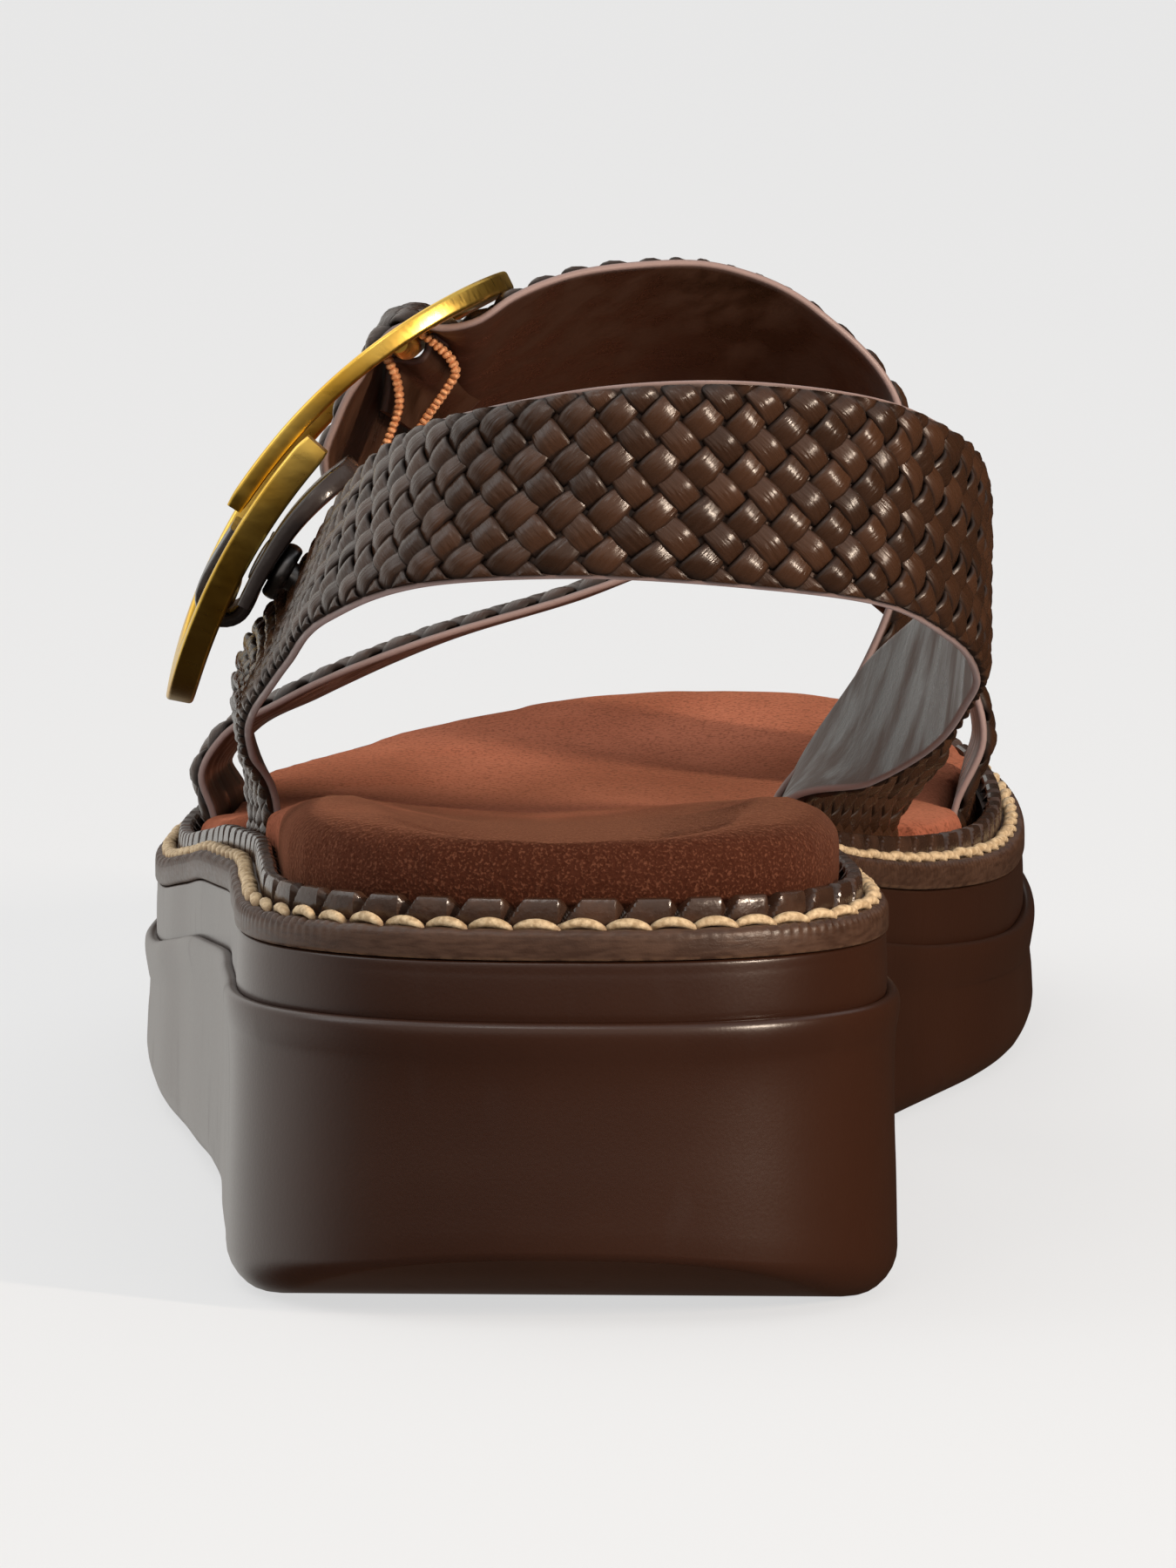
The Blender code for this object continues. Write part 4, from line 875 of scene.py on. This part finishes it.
def plaited(w):
    """Dark brown lace leather, a little different from lace to lace, with fine lengthwise
    creases and a polished skin; painted shade darkens and dulls each lace at its sides and where it dives."""
    strand = w.node("ShaderNodeUVMap", {"uv_map": "strand"}, {})
    spread = w.node("ShaderNodeVectorMath", {"operation": "MULTIPLY"}, {0: strand, 1: (0.25, 1.6, 1.0)})
    crease = w.node("ShaderNodeTexNoise", {}, {"Vector": spread, "Scale": 1.6, "Detail": 4.0})
    tone = w.value("tone")
    sunk_shade = w.value("sunk_shade")
    skin = (tone * 0.6 + crease * 0.4).mix((0.019, 0.0083, 0.0041), (0.060, 0.0255, 0.0122))
    # Painted shade: near-black and duller where the lace is low.
    return {"Base Color": (sunk_shade * 0.9).mix(skin, (0.006, 0.003, 0.002)),
            "Roughness": 0.17 + crease * 0.20 + sunk_shade * 0.4,
            "Normal": w.bump(crease, 0.10)}


def lining_skin(w):
    """Smooth brown lining leather, streaked down the strap by wear, with a painted edge."""
    streak = w.noise(240.0, 4.0, (1.0, 1.0, 0.25))
    skin = streak.between(0.35, 0.65).mix((0.022, 0.0085, 0.0035), (0.056, 0.024, 0.012))
    return {"Base Color": w.value("edge").mix(skin, (0.290, 0.205, 0.190)),
            "Roughness": 0.26 + streak.between(0.35, 0.65) * 0.28 + w.value("edge") * 0.1,
            "Normal": w.bump(streak * 0.8 + w.noise(1900.0, 3.0) * 0.2, 0.16)}


plaited_leather = finish("plaited_leather", {"Specular IOR Level": 0.40}, plaited)
lining_leather = finish("lining_leather", {"Specular IOR Level": 0.34}, lining_skin)
sling_rows = tuck(-1, (58.0, 78.0), 7.0, False) + SLING + tuck(1, (60.0, 79.0), 7.8, True)
instep_rows = tuck(1, (75.0, 129.0), 8.8, False) + INSTEP + bend_rows(STRAP_END)
toe_rows = tuck(-1, (138.5, 169.0), 7.0, False) + TOE + tuck(1, (153.0, 181.5), 7.0, True)
for name, node, rows, out, lip, spill, first, seed in (
        ("sling", "upper", sling_rows, 1.0, 0.45, 0.15, 0.31, 11),
        ("instep", "upper", instep_rows, -1.0, 0.75, 0.10, 0.25, 12),
        ("toe", "toe_strap", toe_rows, 1.0, 0.45, 0.15, 0.25, 13)):
    sheet = Sheet(rows, out)
    grid, faces, edge = ribbon(sheet, -0.9, -0.1, lip, 0.9)
    lining = put(name + "_lining", grid, faces, lining_leather, edge=edge.ravel())
    points, faces, strand, values = plait(sheet, seed, 1.5, sheet.length - 0.8, spill, first)
    braid = put(name + "_plait", points, faces, plaited_leather, sharp=70.0, uv=strand, **values)
    for piece, slot in ((lining, "lining_leather"), (braid, "plaited_leather")):
        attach(piece, "root")
        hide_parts(node)
grid, faces, edge = ribbon(Sheet(bend_rows(UNDERLAY), -1.0), -0.5, 0.3, 0.0, 0.35)
underlay = put("strap_underlay", grid, faces, lining_leather, edge=0.4 * edge.ravel())
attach(underlay, "root")
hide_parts("upper")

# ---------------------------------------------------------------- Buckle
# Flat gilt brass bar bent into an oval and curved round the ankle; its ends pass each other
# at the rear. Two round cross bars are brazed to its underside, their ends bent up into
# it, and the faces are brushed.
OVAL_TOP, OVAL_HALF_LENGTH, OVAL_HALF_WIDTH, OVAL_SQUARENESS = 1.6, 26.7, 21.0, 2.8
OVAL_START, OVAL_END = radians(-2.7), radians(370.0)
OVAL_SPREAD, OVAL_RISE, OVAL_OUT = 1.6, 1.45, -0.3
BAND_WIDTH, START_THICK, END_THICK = 4.8, 3.1, 1.9
BAND_CORNER, BAND_RINGS = 0.42, 220
BARS = ((12.3, -0.7), (45.5, -2.3))
BAR_RADIUS, BAR_RISE = 1.1, 1.2


def band_path(count):
    """The oval's middle line: along and y follow a superellipse from OVAL_START to OVAL_END, its
    ends pushed apart in plan and in thickness. Returns place, outward side, out and share run."""
    turn = np.linspace(OVAL_START, OVAL_END, 4000)
    power = 2 / OVAL_SQUARENESS
    path = np.column_stack([OVAL_TOP + OVAL_HALF_LENGTH * (1 + squared(np.sin(turn), power)),
                            -OVAL_HALF_WIDTH * squared(np.cos(turn), power)])
    length = run_along(path)
    at = np.linspace(0.0, length[-1], count)
    passed = (np.interp(at, length, turn) - OVAL_START) / (OVAL_END - OVAL_START)
    path = np.column_stack([np.interp(at, length, column) for column in path.T])
    ahead = unit(np.gradient(path, axis=0))
    side = np.column_stack([ahead[:, 1], -ahead[:, 0]])
    side *= np.sign(np.sum(side * (path - (OVAL_TOP + OVAL_HALF_LENGTH, 0)), axis=1))[:, None]
    path = path + side * (OVAL_SPREAD * (1 - 2 * passed))[:, None]
    return path, side, OVAL_OUT + OVAL_RISE * (2 * passed - 1), passed


def brushed_gilt(w):
    """Old-gold plating, brushed across, with a browner tone in its clouds."""
    cloud = w.noise(90.0, 3.0)
    scratch = w.noise(1500.0, 3.0, (0.25, 2.0, 0.5))
    return {"Base Color": cloud.between(0.3, 0.7).mix((0.68, 0.39, 0.048), (0.88, 0.60, 0.135)),
            "Roughness": 0.20 + scratch * 0.22,
            "Normal": w.bump(scratch, 0.02)}


gilt = finish("gold_metal", {"Metallic": 1.0}, brushed_gilt)
path, side, out, passed = band_path(BAND_RINGS)
thick = START_THICK + (END_THICK - START_THICK) * passed
quarter = np.linspace(0.0, pi / 2, 5)
wide_at = np.concatenate([sign * (BAND_WIDTH / 2 - BAND_CORNER + BAND_CORNER * trig(quarter))
                          for sign, trig in ((1, np.cos), (-1, np.sin), (-1, np.cos), (1, np.sin))])
high_at = np.concatenate([sign * trig(quarter) for sign, trig in
                          ((1, np.sin), (1, np.cos), (-1, np.sin), (-1, np.cos))])
flat_high = np.concatenate([np.ones(10), -np.ones(10)])
to_end = np.minimum(np.arange(BAND_RINGS), np.arange(BAND_RINGS)[::-1])
shrink = np.sqrt(np.clip(to_end / 2.0, 0.06, 1.0))[:, None]
place = path[:, None] + side[:, None] * (wide_at[None] * (0.86 + 0.14 * shrink))[..., None]
half_high = flat_high * (thick[:, None] / 2 - BAND_CORNER) + high_at * BAND_CORNER
rise = out[:, None] + half_high * (0.8 + 0.2 * shrink)
ring = on_buckle(place[..., 0], BUCKLE_Y + place[..., 1], rise)
groups = tube_faces(1, *ring.shape[:2])
bars = []
turns = full_turn(20)
spoke = BAR_RADIUS * np.stack([np.cos(turns), 0 * turns, np.sin(turns)], axis=-1)
for along, lift in BARS:
    share = abs((along - OVAL_TOP) / OVAL_HALF_LENGTH - 1)
    reach = OVAL_HALF_WIDTH * (1 - share**OVAL_SQUARENESS)**(1 / OVAL_SQUARENESS)
    across_y = BUCKLE_Y + np.linspace(-reach, reach, 24)
    axis = on_buckle(along, across_y, lift + BAR_RISE * (np.abs(across_y - BUCKLE_Y) / reach)**8)
    bars.append(axis[:, None] + spoke)
bars = np.array(bars)
bar_groups = tube_faces(*bars.shape[:3])
ring, bars = ring.reshape(-1, 3), bars.reshape(-1, 3)
if enclosed(bars, bar_groups) * enclosed(ring, groups) < 0:
    bar_groups = [faces[:, ::-1] for faces in bar_groups]
groups = groups + [faces + len(ring) for faces in bar_groups]
buckle = put("buckle_ring", np.vstack([ring, bars]), groups, gilt, sharp=50.0)
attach(buckle, "root")
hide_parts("buckle")

# ---------------------------------------------------------------- Chape and rivet
# A round-topped leather plate under the buckle. A loop of it passes round the lower bar, and
# one dark steel rivet holds it to the sling, with a round collar between the two.
CHAPE_THICK, CHAPE_OUT = 1.5, -4.4
CHAPE_PLATE = ((24.0, -5.6), (28.0, -5.0), (33.0, -4.5), (38.8, CHAPE_OUT), (44.0, CHAPE_OUT))
LOOP_REAR, LOOP_FRONT = 39.2, 57.0
RIVET_ALONG, RIVET_Y, RIVET_SHANK, RIVET_COLLAR, RIVET_CAP = 38.8, 29.0, 1.5, 3.1, 3.0
RIVET_HEAD, RIVET_DOME = 2.3, 0.28
SLING_FACE, STRAP_THICK, CLEAR = 2.7, 1.8, 0.3


def polished(w):
    """Black-brown leather polished to a gloss, a little paler along its edge."""
    cloud = w.noise(420.0, 4.0)
    edge = w.value("edge")
    skin = cloud.between(0.4, 0.7).mix((0.012, 0.007, 0.005), (0.030, 0.017, 0.012))
    return {"Base Color": edge.mix(skin, (0.034, 0.026, 0.024)),
            "Roughness": 0.12 + cloud * 0.2,
            "Normal": w.bump(cloud, 0.12)}


chape_leather = finish("chape_leather", {"Specular IOR Level": 0.4}, polished)


def plate(places, rear, front, puff, tip):
    """Closed strip over places given as (along, out). Its rear and front edges draw in to a
    round tip at the start: half width * sqrt(1 - (1 - s)^2), s being along / tip, up to 1. It
    is `puff` thicker at the start, all of it on the outside, and less and less down the strip.
    Returns points and how near each is to an edge."""
    sheet = Sheet(bend_rows([(a, rear, o, a, front, o) for a, o in places]), 1.0)
    along = np.concatenate([tip * (1 - np.cos(np.linspace(0.10, pi / 2, 12))),
                            np.linspace(tip, sheet.length, 40)[1:]])
    along = along[:, None]
    half = np.sqrt(1 - np.clip(1 - along / tip, 0, 1)**2)
    c, s = np.cos(full_turn(32)), np.sin(full_turn(32))
    across = sheet.width(along) / 2 * (1 + half * squared(c, 0.22))
    more = puff * (1 - along / sheet.length)
    lift = (CHAPE_THICK + more) / 2 * squared(s, 0.32) * np.minimum(1.0, 0.55 + 2 * half) + more / 2
    return sheet.at(along, across, lift), np.broadcast_to(np.abs(c)**8, across.shape)


radius = BAR_RADIUS + 1.6 * CLEAR + CHAPE_THICK / 2
bar_along, bar_out = BARS[1]
shift = CHAPE_OUT - (bar_out - radius)
loop_places = ([(bar_along - 8.0, CHAPE_OUT + 0.1), (bar_along - 4.0, CHAPE_OUT - shift / 2)]
               + [(bar_along + radius * sin(a), bar_out - radius * cos(a)) for a in np.linspace(0.0, pi, 13)]
               + [(bar_along - 3.5, bar_out + radius - 0.1), (bar_along - 7.0, bar_out + radius - 0.3)])
for name, places, rear, front, puff, tip in (
        ("chape_plate", CHAPE_PLATE, 24.5, 41.0, 1.0, 7.0),
        ("chape_loop", loop_places, LOOP_REAR, LOOP_FRONT, 0.0, 0.8)):
    grid, edge = plate(places, rear, front, puff, tip)
    piece = put(name, grid, tube_faces(1, *grid.shape[:2]), chape_leather, sharp=60.0, edge=edge.ravel())
    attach(piece, "root")
    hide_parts("chape")


def dark_steel(w):
    """Blackened steel, worn bright in small spots."""
    worn = w.noise(700.0, 3.0).between(0.5, 0.75)
    return {"Base Color": worn.mix((0.150, 0.150, 0.155), (0.42, 0.41, 0.40)),
            "Roughness": 0.30 - worn * 0.08}


rivet_metal = finish("rivet_metal", {"Metallic": 1.0}, dark_steel)
outer = CHAPE_THICK + CLEAR
inner = CHAPE_THICK + SLING_FACE - 2 * CLEAR
behind = CHAPE_THICK + SLING_FACE + STRAP_THICK + 2 * CLEAR
dome = np.linspace(0.0, pi / 2, 8)[1:]
turned = np.vstack([
    # radius, depth below the chape's outer face
    [(0.02, -RIVET_DOME)], np.column_stack([RIVET_HEAD * np.sin(dome), -RIVET_DOME * np.cos(dome)]),
    [(RIVET_HEAD, 0.12), (RIVET_SHANK, 0.2), (RIVET_SHANK, outer), (RIVET_COLLAR - 0.5, outer)],
    [(RIVET_COLLAR - 0.5 + 0.5 * cos(a), (outer + inner) / 2 + (inner - outer) / 2 * sin(a))
     for a in np.linspace(-pi / 2, pi / 2, 9)],
    [(RIVET_SHANK, inner), (RIVET_SHANK, behind), (RIVET_CAP - 0.2, behind), (RIVET_CAP, behind + 0.25),
     (RIVET_CAP - 0.4, behind + 0.8), (0.02, behind + 1.0)]])
slope = BEND_START + RIVET_ALONG / BEND_RADIUS
down = np.array((-np.cos(slope), 0.0, -np.sin(slope)))
turns = full_turn(28)
axis = on_buckle(RIVET_ALONG, RIVET_Y, CHAPE_OUT + CHAPE_THICK / 2 - turned[:, 1])
spoke = np.cos(turns)[:, None] * down + np.sin(turns)[:, None] * np.array((0.0, 1.0, 0.0))
rivet_grid = axis[:, None] + turned[:, :1, None] * spoke[None]
rivet = put("chape_rivet", rivet_grid, tube_faces(1, *rivet_grid.shape[:2]), rivet_metal)
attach(rivet, "root")
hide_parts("rivet")

# ---------------------------------------------------------------- Elastic loop
# A narrow tan elastic, woven in ribs whose ends show as beads along its edges. It is sewn
# to the sling, goes round the upper bar and back, and is frayed at its cut end.
ELASTIC_REAR, ELASTIC_FRONT, ELASTIC_DROP, BEAD_PITCH = 44.0, 49.0, 0.35, 0.62
BEAD_VALLEY, BEAD_WIDE, RIB_VALLEY, RIB_HIGH = 0.30, 0.42, 0.24, 0.20
THREADS = 16
# The loop's middle line from the sling round the bar and back: x, z.
ELASTIC = ((-31.2, 60.2), (-27.9, 66.7), (-23.9, 74.2), (-20.9, 80.0), (-19.8, 83.6), (-20.2, 86.4),
           (-21.05, 88.5), (-20.6, 90.5), (-19.0, 91.3), (-17.2, 90.6), (-15.6, 89.3), (-14.4, 88.0),
           (-14.0, 86.8), (-14.8, 85.3), (-17.0, 82.1), (-20.8, 75.3), (-24.9, 68.3), (-28.2, 62.3),
           (-29.5, 59.9))


def rubber_cord(w):
    """Tan rubber thread wound with copper-coloured yarn."""
    yarn = w.noise(2400.0, 3.0)
    skin = yarn.between(0.3, 0.7).mix((0.42, 0.160, 0.060), (0.80, 0.40, 0.19))
    return {"Base Color": skin, "Roughness": 0.40 + yarn * 0.25, "Normal": w.bump(yarn, 0.06)}


elastic_band = finish("elastic_band", {"Specular IOR Level": 0.45}, rubber_cord)
sheet = Sheet([(x, ELASTIC_REAR, z, x, ELASTIC_FRONT, z - ELASTIC_DROP) for x, z in ELASTIC], 1.0)
beads = int(sheet.length / BEAD_PITCH)
along = np.linspace(0.3, sheet.length - 0.3, beads * 6 + 1)
bead = np.abs(np.cos(pi * beads * (along - 0.3) / (sheet.length - 0.6)))**0.6
along, bead = along[:, None], bead[:, None]
half = sheet.width(along) / 2
across = half + (half - BEAD_VALLEY + BEAD_WIDE * bead) * squared(np.cos(full_turn(26)), 0.16)
lift = (RIB_VALLEY + RIB_HIGH * bead) * squared(np.sin(full_turn(26)), 0.5)
grid = sheet.at(along, across, lift)
elastic = put("elastic_loop", grid, tube_faces(1, *grid.shape[:2]), elastic_band, sharp=70.0)
rng = np.random.default_rng(21)
root_at = sheet.at(*(rng.uniform(low, high, THREADS) for low, high in ((0.2, 1.0), (0.0, 2.6), (-0.3, 0.3))))
hang = np.stack([rng.uniform(low, high, THREADS)
                 for low, high in ((-1.0, 0.4), (-0.9, 0.3), (-2.6, -1.2))], axis=1)
steps = np.linspace(0.0, 1.0, 7)
curl = rng.normal(0.0, 0.5, (THREADS, 3))
fray_path = (root_at[:, None] + hang[:, None] * steps[None, :, None]
             + curl[:, None] * (np.sin(pi * steps) * steps)[None, :, None])
size = np.broadcast_to(0.17 - 0.07 * steps, fray_path.shape[:2])
fray, fray_faces = tubes(fray_path, size, size, np.array((0.3, 1.0, 0.1)), 6)
ends = put("elastic_fray", fray, fray_faces, elastic_band, sharp=80.0)
for piece in (elastic, ends):
    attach(piece, "root")
    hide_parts("elastic")
